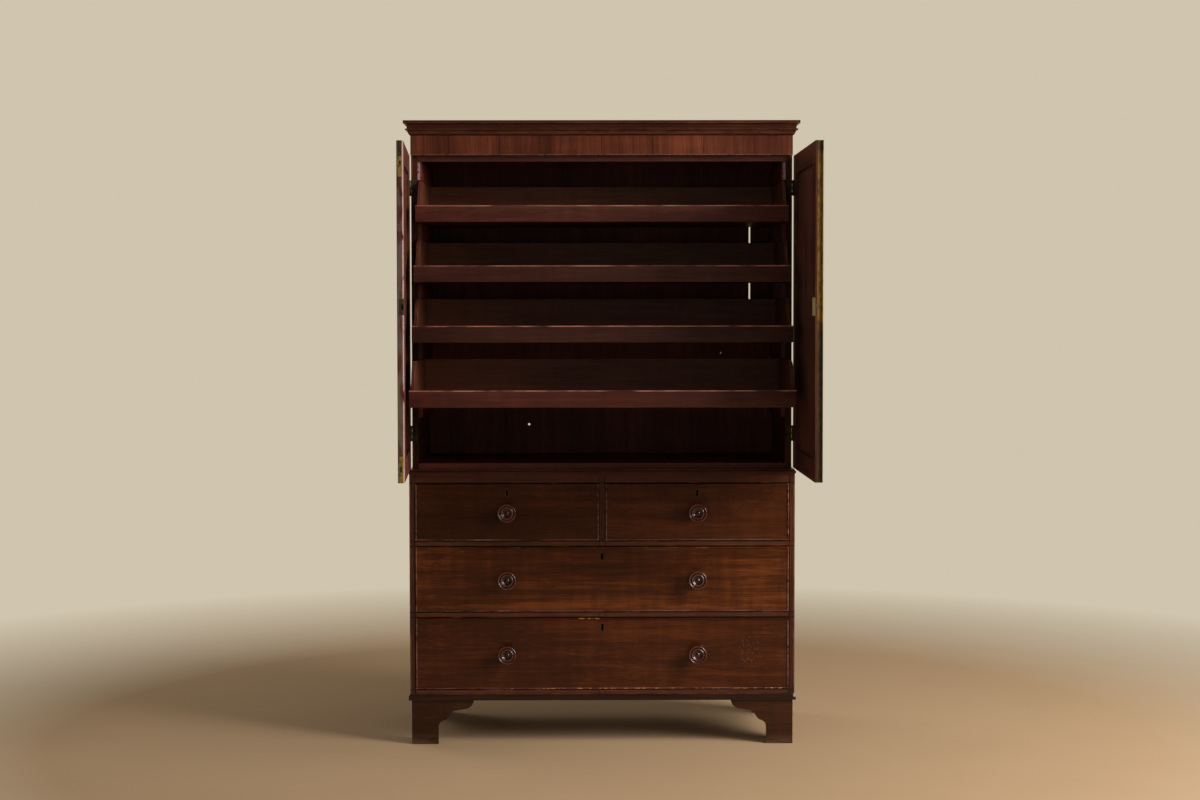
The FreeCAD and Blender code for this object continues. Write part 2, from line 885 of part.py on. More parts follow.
def hinge_leaf_recess(sign, hinge_foot):
    """The inlet for a hinge leaf in the front edge of the case's side."""
    inner = case_half - size.hinge_leaf_width
    return board(
        (inner * sign, case_half * sign),
        (case_front, case_front + size.hinge_leaf),
        (hinge_foot, hinge_foot + size.hinge_length),
    )


hinge_feet = (
    door_foot + size.lower_hinge_up - size.hinge_length / 2,
    door_head - size.upper_hinge_down - size.hinge_length / 2,
)


def cupboard_case():
    for side in ("left", "right"):
        sign = side_sign(side)
        panel = board((case_inner * sign, case_half * sign), (case_front, case_back), (waist_top, case_lid_foot))
        recesses = [hinge_leaf_recess(sign, foot) for foot in hinge_feet]
        node(f"cupboard_side_{side}", cut(panel, *recesses, *case_screws[side]))
    across = (-case_inner, case_inner)
    node("cupboard_bottom", board(across, (case_front, case_inside_back), (waist_top, cupboard_floor)))
    node("cupboard_lid", board((-case_half, case_half), (case_front, case_back), (case_lid_foot, case_lid_top)))
    rail_y = (case_front, case_front + size.cupboard_rail)
    node("cupboard_rail", board(across, rail_y, (cupboard_ceiling, case_lid_foot)))
    frieze = board((-case_half, case_half), (frieze_front, case_front), (frieze_foot, case_lid_top))
    node("frieze", cut(frieze, bolt_socket(frieze_foot, True)))
    cornice = moulding(
        "cornice",
        cornice_profile,
        case_half,
        frieze_front,
        case_back,
        cornice_foot,
        Length.of(0),
        size.cornice_projection,
    )
    node("cornice_moulding", *cornice)


def cupboard_back():
    y = (case_inside_back, case_back)
    stile_inner = case_inner - size.back_stile
    rail_top = waist_top + size.back_bottom_rail
    rail_foot = case_lid_foot - size.back_top_rail
    panel_width = (stile_inner * 2 - size.back_muntin * 2) / 3
    muntin_inner = panel_width / 2
    muntin_outer = muntin_inner + size.back_muntin
    panel_y = case_inside_back + (size.back_frame - size.back_panel) / 2
    deep = (panel_y, panel_y + size.back_panel)
    tongue = size.back_tongue
    high = (rail_top - tongue, rail_foot + tongue)
    knot = rod(size.knot_radius, -size.knot_across, case_inside_back, size.knot_up, "y", size.back_frame)
    nail_hole = rod(
        size.nail_hole_radius, size.nail_hole_across, case_inside_back, size.nail_hole_up, "y", size.back_frame,
    )
    left_panel = board((-stile_inner - tongue, -muntin_outer + tongue), deep, high)
    middle_panel = board((-muntin_inner - tongue, muntin_inner + tongue), deep, high)
    right_panel = board((muntin_outer - tongue, stile_inner + tongue), deep, high)
    lost_edge = board(
        (stile_inner - size.shrinkage_gap, stile_inner + tongue),
        deep,
        (rail_foot - size.gap_foot_drop, rail_foot - size.gap_head_drop),
    )
    panels = (left_panel, middle_panel, right_panel)
    frame = [
        board((-case_inner, -stile_inner), y, (waist_top, case_lid_foot)),
        board((stile_inner, case_inner), y, (waist_top, case_lid_foot)),
        board((-stile_inner, stile_inner), y, (waist_top, rail_top)),
        board((-stile_inner, stile_inner), y, (rail_foot, case_lid_foot)),
        board((-muntin_outer, -muntin_inner), y, (rail_top, rail_foot)),
        board((muntin_inner, muntin_outer), y, (rail_top, rail_foot)),
    ]
    node("cupboard_back_frame", *[cut(piece, *panels) for piece in frame])
    node("cupboard_back_panels", cut(left_panel, knot), middle_panel, cut(right_panel, lost_edge, nail_hole))


# Sliding trays: a low front lip, sides that sweep up behind it, a back and a
# bottom in grooves. They run on strips fixed to the sides of the case.

cupboard_ceiling = frieze_foot - size.cupboard_rail_drop
tray_feet = []
strip_head = cupboard_ceiling
for strip in (size.first_strip, size.second_strip, size.third_strip, size.fourth_strip):
    tray_feet.append(strip_head - strip - size.tray_head_gap - size.tray_height)
    strip_head = tray_feet[-1]
tray_outs = (size.first_tray_out, size.second_tray_out, size.third_tray_out, size.fourth_tray_out)
tray_depth = case_inside_back - case_front - size.tray_end_gap
tray_half = case_inner - size.tray_side_gap


def tray(label, foot, out):
    front = case_front - out
    lip_back = front + size.tray_lip_thickness
    back = front + tray_depth
    top = foot + size.tray_height
    lip_top = foot + size.tray_lip
    sweep_foot = front + size.tray_sweep_start
    sweep_head = sweep_foot + size.tray_sweep
    rise = size.tray_height - size.tray_lip
    sweep_radius = (size.tray_sweep * size.tray_sweep + rise * rise) / (rise * 4)
    outline = [
        (lip_back, foot),
        (back, foot),
        (back, top),
        (sweep_head, top),
        ((sweep_foot + sweep_head) / 2, (lip_top + top) / 2, -sweep_radius),
        (sweep_foot, lip_top, sweep_radius),
        (lip_back, lip_top),
    ]
    inner = tray_half - size.tray_side
    bottom_foot = foot + size.tray_bottom_lift
    bottom_top = bottom_foot + size.tray_bottom
    bottom = board(
        (-inner - size.tray_groove, inner + size.tray_groove),
        (lip_back - size.tray_groove, back),
        (bottom_foot, bottom_top),
    )
    node(
        label,
        cut(board((-tray_half, tray_half), (front, lip_back), (foot, lip_top)), bottom),
        cut(sawn("tray_left_side", "x", outline, (-tray_half, -inner)), bottom),
        cut(sawn("tray_right_side", "x", outline, (inner, tray_half)), bottom),
        board((-inner, inner), (back - size.tray_side, back), (bottom_top, top)),
        bottom,
    )


def tray_runners():
    strips = []
    heads = [cupboard_ceiling] + tray_feet
    feet_of_strips = [foot + size.tray_height + size.tray_head_gap for foot in tray_feet]
    feet_of_strips.append(tray_feet[-1] - size.fifth_strip)
    inner = case_inner - size.tray_runner
    for low, high in zip(feet_of_strips, heads):
        for sign in (-1, 1):
            strips.append(board(
                (inner * sign, case_inner * sign),
                (case_front + size.tray_runner_setback, case_inside_back),
                (low, high),
            ))
    node("tray_runners", *strips)


# Butt hinges: a leaf let into the case and one let into the door, joined by a
# pin through their knuckles. Along a door, "in" counts from the pin towards
# the meeting edge.

pin_x = case_half + size.pin_outboard
pin_y = case_front - size.door_back_gap
knuckle_pitch = size.hinge_length / HINGE_KNUCKLES


def knuckle(x, y, hinge_foot, index, tab, bore):
    """One knuckle with the tab that joins it to its leaf, bored for the pin."""
    foot = hinge_foot + knuckle_pitch * index + size.knuckle_gap / 2
    length = knuckle_pitch - size.knuckle_gap
    barrel = rod(size.knuckle_radius, x, y, foot, "z", length)
    return cut(fuse(barrel, board(*tab, (foot, foot + length))), rod(bore, x, y, foot, "z", length))


def leaf_screw_heights(hinge_foot):
    step = size.hinge_length / (SCREWS_PER_LEAF + 1)
    return [hinge_foot + step * (index + 1) for index in range(SCREWS_PER_LEAF)]


case_screws = {}
for side in ("left", "right"):
    screw_x = (case_half - size.hinge_leaf_width / 2) * side_sign(side)
    case_screws[side] = [
        screw(screw_x, case_front, z, "y") for foot in hinge_feet for z in leaf_screw_heights(foot)
    ]


def case_hinges():
    leaves = []
    pins = []
    for side in ("left", "right"):
        sign = side_sign(side)
        x = pin_x * sign
        for hinge_foot in hinge_feet:
            plate = hinge_leaf_recess(sign, hinge_foot)
            tab = ((case_half * sign, x), (case_front, case_front + size.hinge_leaf))
            knuckles = [knuckle(x, pin_y, hinge_foot, index, tab, size.pin_radius) for index in (0, 2, 4)]
            leaves.append(cut(fuse(plate, *knuckles), *case_screws[side]))
            pins.append(rod(size.pin_radius, x, pin_y, hinge_foot, "z", size.hinge_length))
        leaves.extend(case_screws[side])
    node("case_hinges", *leaves, *pins)


# Doors: modelled shut, with the hinge pin at the origin, then turned open and
# put on their pins.

door_width = case_half - size.door_meeting_gap / 2 + size.pin_outboard
door_back = Length.of(0)
door_face = -size.door


def hang(label, side, *pieces):
    """Name a sub-part of a door, put it on its hinge pin and turn it open."""
    part = group(*pieces) if len(pieces) > 1 else doc.addObject("Part::Compound", "group")
    part.Links = list(pieces)
    node(label, part)
    angle = size.left_door_angle if side == "left" else size.right_door_angle
    put(part, pin_x * side_sign(side), pin_y, 0)
    part.setExpression("Placement.Rotation.Angle", (angle * side_sign(side)).text)


def door_leaf(side, edge_cuts, face_cuts):
    """The frame, panel, moulding and hinge leaves of a door."""
    sign = -side_sign(side)
    hinge_edge = size.pin_outboard
    stile_in = hinge_edge + size.door_stile
    meeting_in = door_width - size.door_stile
    rail_foot = door_foot + size.door_bottom_rail
    rail_head = door_head - size.door_top_rail
    deep = (door_face, door_back)
    high = (door_foot, door_head)
    tongue = size.door_tongue
    panel_back = -size.door_panel_recess
    panel_face = panel_back - size.door_panel

    def along(start, end):
        return (start * sign, end * sign)

    panel = board(
        along(stile_in - tongue, meeting_in + tongue),
        (panel_face, panel_back),
        (rail_foot - tongue, rail_head + tongue),
    )
    recesses = []
    leaves = []
    screws = []
    for hinge_foot in hinge_feet:
        plate_x = along(hinge_edge, hinge_edge + size.hinge_leaf_width)
        plate = board(plate_x, (-size.hinge_leaf, door_back), (hinge_foot, hinge_foot + size.hinge_length))
        tab = (along(Length.of(0), hinge_edge), (-size.hinge_leaf, door_back))
        bore = size.pin_radius + size.pin_clearance
        knuckles = [knuckle(0, 0, hinge_foot, index, tab, bore) for index in (1, 3)]
        screw_in = (hinge_edge + size.hinge_leaf_width / 2) * sign
        own_screws = [screw(screw_in, door_back, z, "-y") for z in leaf_screw_heights(hinge_foot)]
        leaves.append(cut(fuse(plate, *knuckles), *own_screws))
        recesses.append(plate)
        screws.extend(own_screws)
    hinge_stile = cut(board(along(hinge_edge, stile_in), deep, high), panel, *recesses, *screws)
    meeting_stile = cut(board(along(meeting_in, door_width), deep, high), panel, *edge_cuts, *face_cuts)
    foot_rail = cut(board(along(stile_in, meeting_in), deep, (door_foot, rail_foot)), panel)
    head_rail = cut(board(along(stile_in, meeting_in), deep, (rail_head, door_head)), panel)
    hang(f"{side}_door_frame", side, hinge_stile, meeting_stile, foot_rail, head_rail)
    strips = panel_moulding(along(stile_in, meeting_in), (rail_foot, rail_head), panel_face)
    hang(f"{side}_door_panel", side, panel, *strips)
    hang(f"{side}_door_hinges", side, *leaves, *screws)


def panel_moulding(x, z, panel_face):
    """Four mitred, sloping strips round a panel's face, against the frame."""
    low_x, high_x = sorted(x, key=lambda end: end.value)
    across = high_x - low_x
    up = z[1] - z[0]
    out = Vector(0, -1, 0)
    strips = []
    for length, inward, at in (
        (across, Vector(0, 0, 1), (low_x, z[0])),
        (across, Vector(0, 0, -1), (high_x, z[1])),
        (up, Vector(1, 0, 0), (low_x, z[1])),
        (up, Vector(-1, 0, 0), (high_x, z[0])),
    ):
        strip = doc.addObject("Part::Wedge", "moulding_strip")
        strip.Placement.Rotation = Rotation(inward.cross(out), inward, out, "ZYX")
        for side, place in (
            ("Xmin", Length.of(0)),
            ("Xmax", length),
            ("X2min", size.door_moulding),
            ("X2max", length - size.door_moulding),
            ("Ymin", Length.of(0)),
            ("Ymax", size.door_moulding),
            ("Zmin", Length.of(0)),
            ("Zmax", size.door + panel_face),
            ("Z2min", Length.of(0)),
            ("Z2max", size.door_moulding_edge),
        ):
            strip.setExpression(side, place.text)
        strips.append(put(strip, at[0], panel_face, at[1]))
    return strips


# Left door: two flush bolts slide in channels behind brass plates in its meeting
# edge, and a mortise behind a strike plate there takes the right door's lock bolt.

def flush_bolt(end, up, plate_length, thumb_end):
    """A plate, a bolt and their channel at one end of the left door; up is 1 at the top and -1 at the foot."""
    edge = door_width
    rod_in = edge - size.flush_bolt_depth
    middle_y = -size.bolt_plate_inset - size.bolt_plate_width / 2
    bolt_length = thumb_end + size.flush_bolt_tail
    bolt_inner = end - bolt_length * up
    thumb_z = end - thumb_end * up
    clearance = size.flush_bolt_clearance
    hole = size.flush_bolt_radius + clearance
    start = sorted((bolt_inner - clearance * up, end), key=lambda place: place.value)
    channel = rod(hole, rod_in, middle_y, start[0], "z", start[1] - start[0])
    slot_half = size.thumb_radius + clearance
    slot = board(
        (rod_in, edge),
        (middle_y - slot_half, middle_y + slot_half),
        (thumb_z - slot_half * up, thumb_z + (slot_half + size.flush_bolt_travel) * up),
    )
    plate_space = board(
        (edge - size.bolt_plate, edge),
        (-size.bolt_plate_inset - size.bolt_plate_width, -size.bolt_plate_inset),
        (end, end - plate_length * up),
    )
    bolt_start = min((bolt_inner, end), key=lambda place: place.value)
    bolt = fuse(
        rod(size.flush_bolt_radius, rod_in, middle_y, bolt_start, "z", bolt_length),
        rod(size.thumb_radius, rod_in, middle_y, thumb_z, "x", size.flush_bolt_depth + size.thumb_proud),
    )
    return cut(plate_space, slot), bolt, (channel, slot, plate_space)


def left_door():
    top_plate, top_bolt, top_cuts = flush_bolt(door_head, 1, size.top_bolt_plate, size.top_thumb_end)
    foot_plate, foot_bolt, foot_cuts = flush_bolt(door_foot, -1, size.foot_bolt_plate, size.foot_thumb_end)
    lock_middle = door_foot + size.door_lock_up
    half = size.door_bolt_height / 2 + size.mortise_clearance
    mortise = board(
        (door_width - size.door_bolt_travel - size.mortise_clearance, door_width),
        (door_bolt_faces[0] - size.mortise_clearance, door_bolt_faces[1] + size.mortise_clearance),
        (lock_middle - half, lock_middle + half),
    )
    half_plate = size.strike_plate_height / 2
    strike_space = board(
        (door_width - size.strike_plate, door_width),
        (-size.strike_plate_width, door_back),
        (lock_middle - half_plate, lock_middle + half_plate),
    )
    door_leaf("left", (*top_cuts, *foot_cuts), (mortise, strike_space))
    hang("left_door_plates", "left", top_plate, foot_plate, cut(strike_space, mortise))
    hang("flush_bolt_top", "left", top_bolt)
    hang("flush_bolt_foot", "left", foot_bolt)


# Right door: a brass astragal covers the meeting of the doors, and a lock let
# into the back of the meeting stile shoots its bolt into the left door.

door_lock_faces = (-size.door_lock, door_back)
door_bolt_middle = -size.door_lock / 2
door_bolt_faces = (door_bolt_middle - size.door_bolt / 2, door_bolt_middle + size.door_bolt / 2)


def right_door():
    edge = -door_width
    half_width = size.astragal_half_width
    brow = door_face - size.astragal_side
    crown = size.astragal - size.astragal_side
    nose = (half_width * half_width + crown * crown) / (crown * 2)
    outline = [
        (edge + half_width, door_face),
        (edge + half_width, brow),
        (edge, door_face - size.astragal, -nose),
        (edge - half_width, brow, -nose),
        (edge - half_width, door_face),
        (edge, door_face),
        (edge, door_face + size.astragal_flange_width),
        (edge + size.astragal_flange, door_face + size.astragal_flange_width),
        (edge + size.astragal_flange, door_face),
    ]
    strip = sawn("astragal_strip", "z", outline, (door_foot, door_head))
    pin_heights = [door_foot + size.astragal_end_pin, door_head - size.astragal_end_pin]
    for index in range(ASTRAGAL_MIDDLE_PINS):
        pin_heights.append(door_foot + size.astragal_first_pin + size.astragal_pin_spacing * index)
    pin_start = edge - size.astragal_pin_proud
    pin_y_inside = door_face + size.astragal_flange_width / 2
    pins = [
        rod(size.astragal_pin_radius, pin_start, pin_y_inside, z, "x", size.astragal_pin_length)
        for z in pin_heights
    ]

    lock_middle = door_foot + size.door_lock_up
    half_lock = size.door_lock_height / 2
    lock_x = (edge + size.astragal_flange, edge + size.door_lock_reach)
    lock_space = board(lock_x, door_lock_faces, (lock_middle - half_lock, lock_middle + half_lock))
    half_bolt = size.door_bolt_height / 2
    clearance = size.bolt_clearance
    bolt_space = board(
        (edge, edge + size.door_bolt_length + clearance),
        (door_bolt_faces[0] - clearance, door_bolt_faces[1] + clearance),
        (lock_middle - half_bolt - clearance, lock_middle + half_bolt + clearance),
    )
    bolt = board(
        (edge, edge + size.door_bolt_length), door_bolt_faces, (lock_middle - half_bolt, lock_middle + half_bolt),
    )
    key_x = edge + size.door_key_setback
    key_space = keyhole(key_x, (door_face, door_lock_faces[0]), lock_middle, Length.of(0))
    plate_space = keyhole(key_x, (door_face, door_face + size.escutcheon), lock_middle, size.escutcheon_margin)
    door_leaf("right", (strip, lock_space, bolt_space, *pins), (key_space, plate_space))
    hang("astragal", "right", cut(strip, bolt_space, *pins), *pins)
    hang("right_door_lock", "right", cut(lock_space, bolt_space), cut(plate_space, key_space))
    hang("right_door_lock_bolt", "right", bolt)


chest_case()
drawer_divisions()
feet()
waist = moulding(
    "waist",
    waist_profile,
    chest_half,
    chest_front,
    chest_back,
    chest_top,
    size.waist_depth,
    size.waist_projection,
)
waist[0] = cut(waist[0], bolt_socket(waist_top, False))
node("waist_moulding", *waist)
base = moulding(
    "base",
    base_profile,
    chest_half,
    chest_front,
    chest_back,
    size.foot_height,
    Length.of(0),
    size.base_projection,
)
node("base_moulding", *base)
long_opening = (-chest_inner, chest_inner)
drawer("short_drawer_left", (-chest_inner, -muntin_half), short_floor, short_head, (-short_centre,), -short_centre)
drawer("short_drawer_right", (muntin_half, chest_inner), short_floor, short_head, (short_centre,), short_centre)
both_knobs = (-short_centre, short_centre)
drawer("middle_drawer", long_opening, middle_floor, middle_head, both_knobs, Length.of(0))
drawer("bottom_drawer", long_opening, low_floor, low_head, both_knobs, Length.of(0))
cupboard_case()
cupboard_back()
tray_runners()
for number, (foot, out) in enumerate(zip(tray_feet, tray_outs), start=1):
    tray(f"tray_{number}", foot, out)
case_hinges()
left_door()
right_door()

doc.recompute()

failed = [item.Label for item in doc.Objects if "Invalid" in item.State or "Error" in item.State]
for label, part in NODES.items():
    if part.Shape.isNull() or not part.Shape.isValid() or not part.Shape.Solids:
        failed.append(label)
if failed:
    raise RuntimeError(f"these could not be made: {failed}")

os.makedirs("parts", exist_ok=True)
for label, part in NODES.items():
    part.Shape.exportStep(f"parts/{label}.step")
print(len(NODES), "sub-parts,", sum(len(part.Shape.Solids) for part in NODES.values()), "solids")
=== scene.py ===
import math

import bpy
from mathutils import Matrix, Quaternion, Vector


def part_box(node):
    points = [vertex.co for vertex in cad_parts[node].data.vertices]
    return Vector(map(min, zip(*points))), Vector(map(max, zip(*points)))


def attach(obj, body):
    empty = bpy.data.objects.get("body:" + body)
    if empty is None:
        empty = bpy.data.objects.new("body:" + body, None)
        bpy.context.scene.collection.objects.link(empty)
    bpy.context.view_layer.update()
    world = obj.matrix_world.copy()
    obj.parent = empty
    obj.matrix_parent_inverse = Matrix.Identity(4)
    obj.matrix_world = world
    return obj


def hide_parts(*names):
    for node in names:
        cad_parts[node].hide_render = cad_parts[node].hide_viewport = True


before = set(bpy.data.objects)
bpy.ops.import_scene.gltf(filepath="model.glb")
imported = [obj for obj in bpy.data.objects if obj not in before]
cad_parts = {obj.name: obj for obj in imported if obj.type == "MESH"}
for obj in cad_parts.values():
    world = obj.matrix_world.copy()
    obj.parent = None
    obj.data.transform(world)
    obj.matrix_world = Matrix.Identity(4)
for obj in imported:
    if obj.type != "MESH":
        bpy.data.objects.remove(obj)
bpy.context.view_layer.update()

# The camera stands straight before the press, nearly seven metres off and a little
# to the left, at the height of the third tray. Its turn, dip and roll are in radians.

camera_place = Vector((-0.0481, -6.8801, 1.3874))
camera_turn = 0.0063
camera_dip = 0.0421
camera_roll = -0.0012
ahead = Vector((
    math.sin(camera_turn) * math.cos(camera_dip),
    math.cos(camera_turn) * math.cos(camera_dip),
    -math.sin(camera_dip),
))
camera = bpy.data.objects.new("camera", bpy.data.cameras.new("camera"))
bpy.context.scene.collection.objects.link(camera)
camera.data.sensor_width = 36
camera.data.lens = 62.03
camera.location = camera_place
camera.rotation_mode = "QUATERNION"
camera.rotation_quaternion = ahead.to_track_quat("-Z", "Y") @ Quaternion((0, 0, 1), camera_roll)
bpy.context.scene.camera = camera
bpy.context.scene.view_settings.view_transform = "Standard"


def paint(red, green, blue):
    """A colour given as it looks on a screen, from 0 to 255, as light."""
    parts = [part / 255 for part in (red, green, blue)]
    parts = [part / 12.92 if part < 0.04045 else ((part + 0.055) / 1.055) ** 2.4 for part in parts]
    return tuple(parts) + (1.0,)


class Value:
    """A number or colour that varies over a surface. Arithmetic on a number adds its Math nodes."""

    def __init__(self, finish, socket):
        self.finish = finish
        self.socket = socket

    def math(self, operation, first, second):
        return self.finish.node("Math", {"operation": operation}, {0: first, 1: second})

    def __add__(self, other):
        return self.math("ADD", self, other)

    __radd__ = __add__

    def __sub__(self, other):
        return self.math("SUBTRACT", self, other)

    def __rsub__(self, other):
        return self.math("SUBTRACT", other, self)

    def __mul__(self, other):
        return self.math("MULTIPLY", self, other)

    def __truediv__(self, other):
        return self.math("DIVIDE", self, other)

    def __abs__(self):
        return self.math("ABSOLUTE", self, 0)


class Finish:
    """The nodes of one finish, worked out from places on the piece."""

    def __init__(self, name, tree=None):
        self.material = None
        if tree is None:
            self.material = bpy.data.materials.new(name)
            self.material.use_nodes = True
            tree = self.material.node_tree
        self.tree = tree
        self.tree.nodes.clear()

    def node(self, kind, settings=None, inputs=None, output=0):
        node = self.tree.nodes.new("ShaderNode" + kind)
        for name, setting in (settings or {}).items():
            setattr(node, name, setting)
        for name, value in (inputs or {}).items():
            if isinstance(value, Value):
                self.tree.links.new(value.socket, node.inputs[name])
            else:
                node.inputs[name].default_value = value
        return Value(self, node.outputs[output]) if node.outputs else None

    def place(self):
        """Where a point of the surface is, as three numbers."""
        return self.split(self.node("TexCoord", output="Object"))

    def split(self, vector):
        axes = self.node("SeparateXYZ", {}, {0: vector})
        return [Value(self, axes.socket.node.outputs[axis]) for axis in range(3)]

    def vector(self, *parts):
        return self.node("CombineXYZ", {}, dict(enumerate(parts)))

    def noise(self, vector, detail=2.0, roughness=0.5):
        inputs = {"Vector": vector, "Scale": 1.0, "Detail": detail, "Roughness": roughness}
        return self.node("TexNoise", {}, inputs)

    def between(self, value, low, high):
        """How far a number has come from low to high, kept between 0 and 1."""
        inputs = {"Value": value, "From Min": low, "From Max": high}
        return self.node("MapRange", {"clamp": True}, inputs)

    def within(self, value, low, high, soft):
        """1 where a number lies between low and high, softened at both ends."""
        below_high = self.between(value, high + soft, high - soft)
        return self.between(value, low - soft, low + soft) * below_high

    def most(self, first, second):
        return self.node("Math", {"operation": "MAXIMUM"}, {0: first, 1: second})

    def blend(self, mask, first, second):
        """The first colour where the mask is 0 and the second where it is 1."""
        return self.node("Mix", {"data_type": "RGBA"}, {"Factor": mask, 6: first, 7: second}, output=2)

    def bumps(self, height, strength, distance):
        return self.node("Bump", {}, {"Height": height, "Strength": strength, "Distance": distance})

    def surface(self, inputs):
        shader = self.node("BsdfPrincipled", {}, inputs)
        self.node("OutputMaterial", {}, {"Surface": shader})
        return self.material


# The room: a pale floor that fades into a cream backdrop. A broad soft lamp stands high
# to the front right, as a window would, and a weak one behind to the left leaves no
# highlights. The rest comes from all round, mostly from the front.

backdrop_colour = paint(208, 197, 174)
floor_colour = paint(160, 134, 104)
floor_stain = paint(176, 150, 118)
room_light = (1.0, 0.95, 0.88, 1.0)
room_strength = 0.24
front_strength = 0.42
mirrored_front = 0.05
mirrored_back = 0.42
fade_start, fade_end = 1.8, 3.7
lamp_colour = (1.0, 0.97, 0.94)
press_middle = Vector((0, -0.2, 1.1))

world = bpy.data.worlds.new("room")
world.use_nodes = True
bpy.context.scene.world = world
room = Finish("room", world.node_tree)
ray = room.node("LightPath").socket.node.outputs
mirrored = Value(room, ray["Is Glossy Ray"])
seen = room.most(Value(room, ray["Is Camera Ray"]), Value(room, ray["Is Transmission Ray"]))
heading = room.split(room.node("TexCoord", output="Generated"))
mirror_level = room.between(heading[1], -0.35, 0.6) * mirrored_back + mirrored_front
room_level = room.between(heading[1], 0.1, -0.9) * front_strength + room_strength
level = seen + (1 - seen) * (mirrored * mirror_level + (1 - mirrored) * room_level)
tint = room.blend(room.most(seen, mirrored), room_light, backdrop_colour)
glow = room.node("Background", {}, {"Color": tint, "Strength": level})
room.node("OutputWorld", {}, {"Surface": glow})

bpy.ops.mesh.primitive_circle_add(vertices=96, radius=9, fill_type="NGON")
floor = bpy.context.object
floor.name = "floor"
ground = Finish("pale floor")
across, deep = ground.place()[:2]
spot = ground.vector(across, deep, 0)
out = ground.node("VectorMath", {"operation": "LENGTH"}, {0: spot}, output="Value")
fade = ground.between(out, fade_start, fade_end)
fade = fade * Value(ground, ground.node("LightPath").socket.node.outputs["Is Camera Ray"])
mottle = ground.noise(ground.vector(across * 3, deep * 3, 0), detail=3)
boards = ground.blend(mottle * 0.3, floor_colour, floor_stain)
plain = ground.node("BsdfDiffuse", {}, {"Color": boards})
beyond = ground.node("Emission", {}, {"Color": backdrop_colour, "Strength": 1.0})
faded = ground.node("MixShader", {}, {0: fade, 1: plain, 2: beyond})
ground.node("OutputMaterial", {}, {"Surface": faded})
floor.data.materials.append(ground.material)

for name, place, width, height, watts in (
    ("window", (3.9, -2.4, 2.8), 2.2, 3.0, 370),
    ("side_window", (-4.2, 3.0, 3.0), 2.6, 2.6, 70),
):
    lamp = bpy.data.objects.new(name, bpy.data.lights.new(name, "AREA"))
    bpy.context.scene.collection.objects.link(lamp)
    lamp.data.shape = "RECTANGLE"
    lamp.data.size = width
    lamp.data.size_y = height
    lamp.data.energy = watts
    lamp.data.color = lamp_colour
    lamp.visible_glossy = name == "window"
    lamp.location = place
    lamp.rotation_mode = "QUATERNION"
    lamp.rotation_quaternion = (press_middle - lamp.location).to_track_quat("-Z", "Y")


# The case is solid mahogany: two upright sides to each stage, rails between the
# drawers and mouldings glued on, all French polished and rubbed pale along the corners.

case_tones = (paint(38, 15, 7), paint(58, 26, 13), paint(88, 44, 24))
pale_mahogany = paint(118, 76, 56)
pore_black = paint(14, 6, 4)


def grain_axes(finish, grain):
    """Places on a piece counted along its grain and twice across it."""
    x, y, z = finish.place()
    if grain == "round":
        return x + y, z, 0
    return {"x": (x, y, z), "y": (y, x, z), "z": (z, x, y)}[grain]


def mahogany(
    name, grain, tones, figure=1.0, polish=0.30, coat=0.08, wave=0.12,
    marks=(), cross=None, strips=None, inlay=None,
):
    """Mahogany in a dark, a middle and a light tone, streaked along its grain.

    Figure is how strongly it is streaked and wave how far the streaks stray. Marks gives
    masks and the tint that shows at each, for wear and in places for painted shade or a
    painted highlight; cross another grain and where it runs, strips the width of strips
    laid side by side, and inlay a mask and two tones.
    """
    wood = Finish(name)
    along, across, through = grain_axes(wood, grain)
    if cross:
        turned, mask = cross
        here = mask(wood)
        pairs = zip((along, across, through), grain_axes(wood, turned))
        along, across, through = [there * here + own * (1 - here) for own, there in pairs]
    drift = wood.noise(wood.vector(along * 0.8, across * 3, through * 3), detail=2)
    across = across + (drift - 0.5) * wave
    streak = wood.noise(wood.vector(along * 1.1, across * 30, through * 30), detail=4, roughness=0.7)
    fine = wood.noise(wood.vector(along * 7, across * 300, through * 300), detail=3, roughness=0.6)
    ripple = wood.noise(wood.vector(along * 34, across * 7, through * 7), detail=2)
    patch = wood.noise(wood.vector(along * 2.0, across * 4.5, through * 4.5), detail=3)
    pores = wood.noise(wood.vector(along * 42, across * 1000, through * 1000), detail=1)
    light = 0.5 + (streak - 0.5) * (1.3 * figure) + (ripple - 0.5) * (0.35 * figure)
    light = light + (fine - 0.5) * 0.9 + (patch - 0.5) * (0.8 * figure)
    if strips:
        turn = wood.place()[0] / strips
        number = wood.node("Math", {"operation": "FLOOR"}, {0: turn})
        light = light + (wood.noise(wood.vector(number * 3.37, 0.4, 0.7), detail=0) - 0.5) * 0.7
        joint = wood.between(abs(turn - number - 0.5), 0.488, 0.497)
        light = light - joint * 0.9
    dark, middle, pale = tones
    colour = wood.blend(wood.between(light, 0, 0.5), dark, middle)
    colour = wood.blend(wood.between(light, 0.5, 1), colour, pale)
    pore = wood.between(pores, 0.60, 0.72)
    colour = wood.blend(pore * 0.4, colour, pore_black)
    rough = polish + (patch - 0.5) * 0.16 + pore * 0.12
    if inlay:
        mask, (laid_dark, laid_pale) = inlay
        here = mask(wood)
        laid = wood.blend(wood.between(light, 0.1, 0.9), laid_dark, laid_pale)
        colour = wood.blend(here, colour, laid)
    for mask, wear_and_painted_light in marks:
        speck = wood.noise(wood.vector(along * 16, across * 70, through * 70), detail=3)
        marked = wood.between(mask(wood) * wood.between(speck, 0.34, 0.6), 0, 1)
        colour = wood.blend(marked, colour, wear_and_painted_light)
        rough = rough + marked * 0.12
    return wood.surface({
        "Base Color": colour,
        "Roughness": rough,
        "Coat Weight": coat,
        "Coat Roughness": 0.14,
        "Specular IOR Level": 0.28,
        "Normal": wood.bumps(fine * 0.4 + pore * -0.8 + streak * 0.5, 0.25, 0.0003),
    })


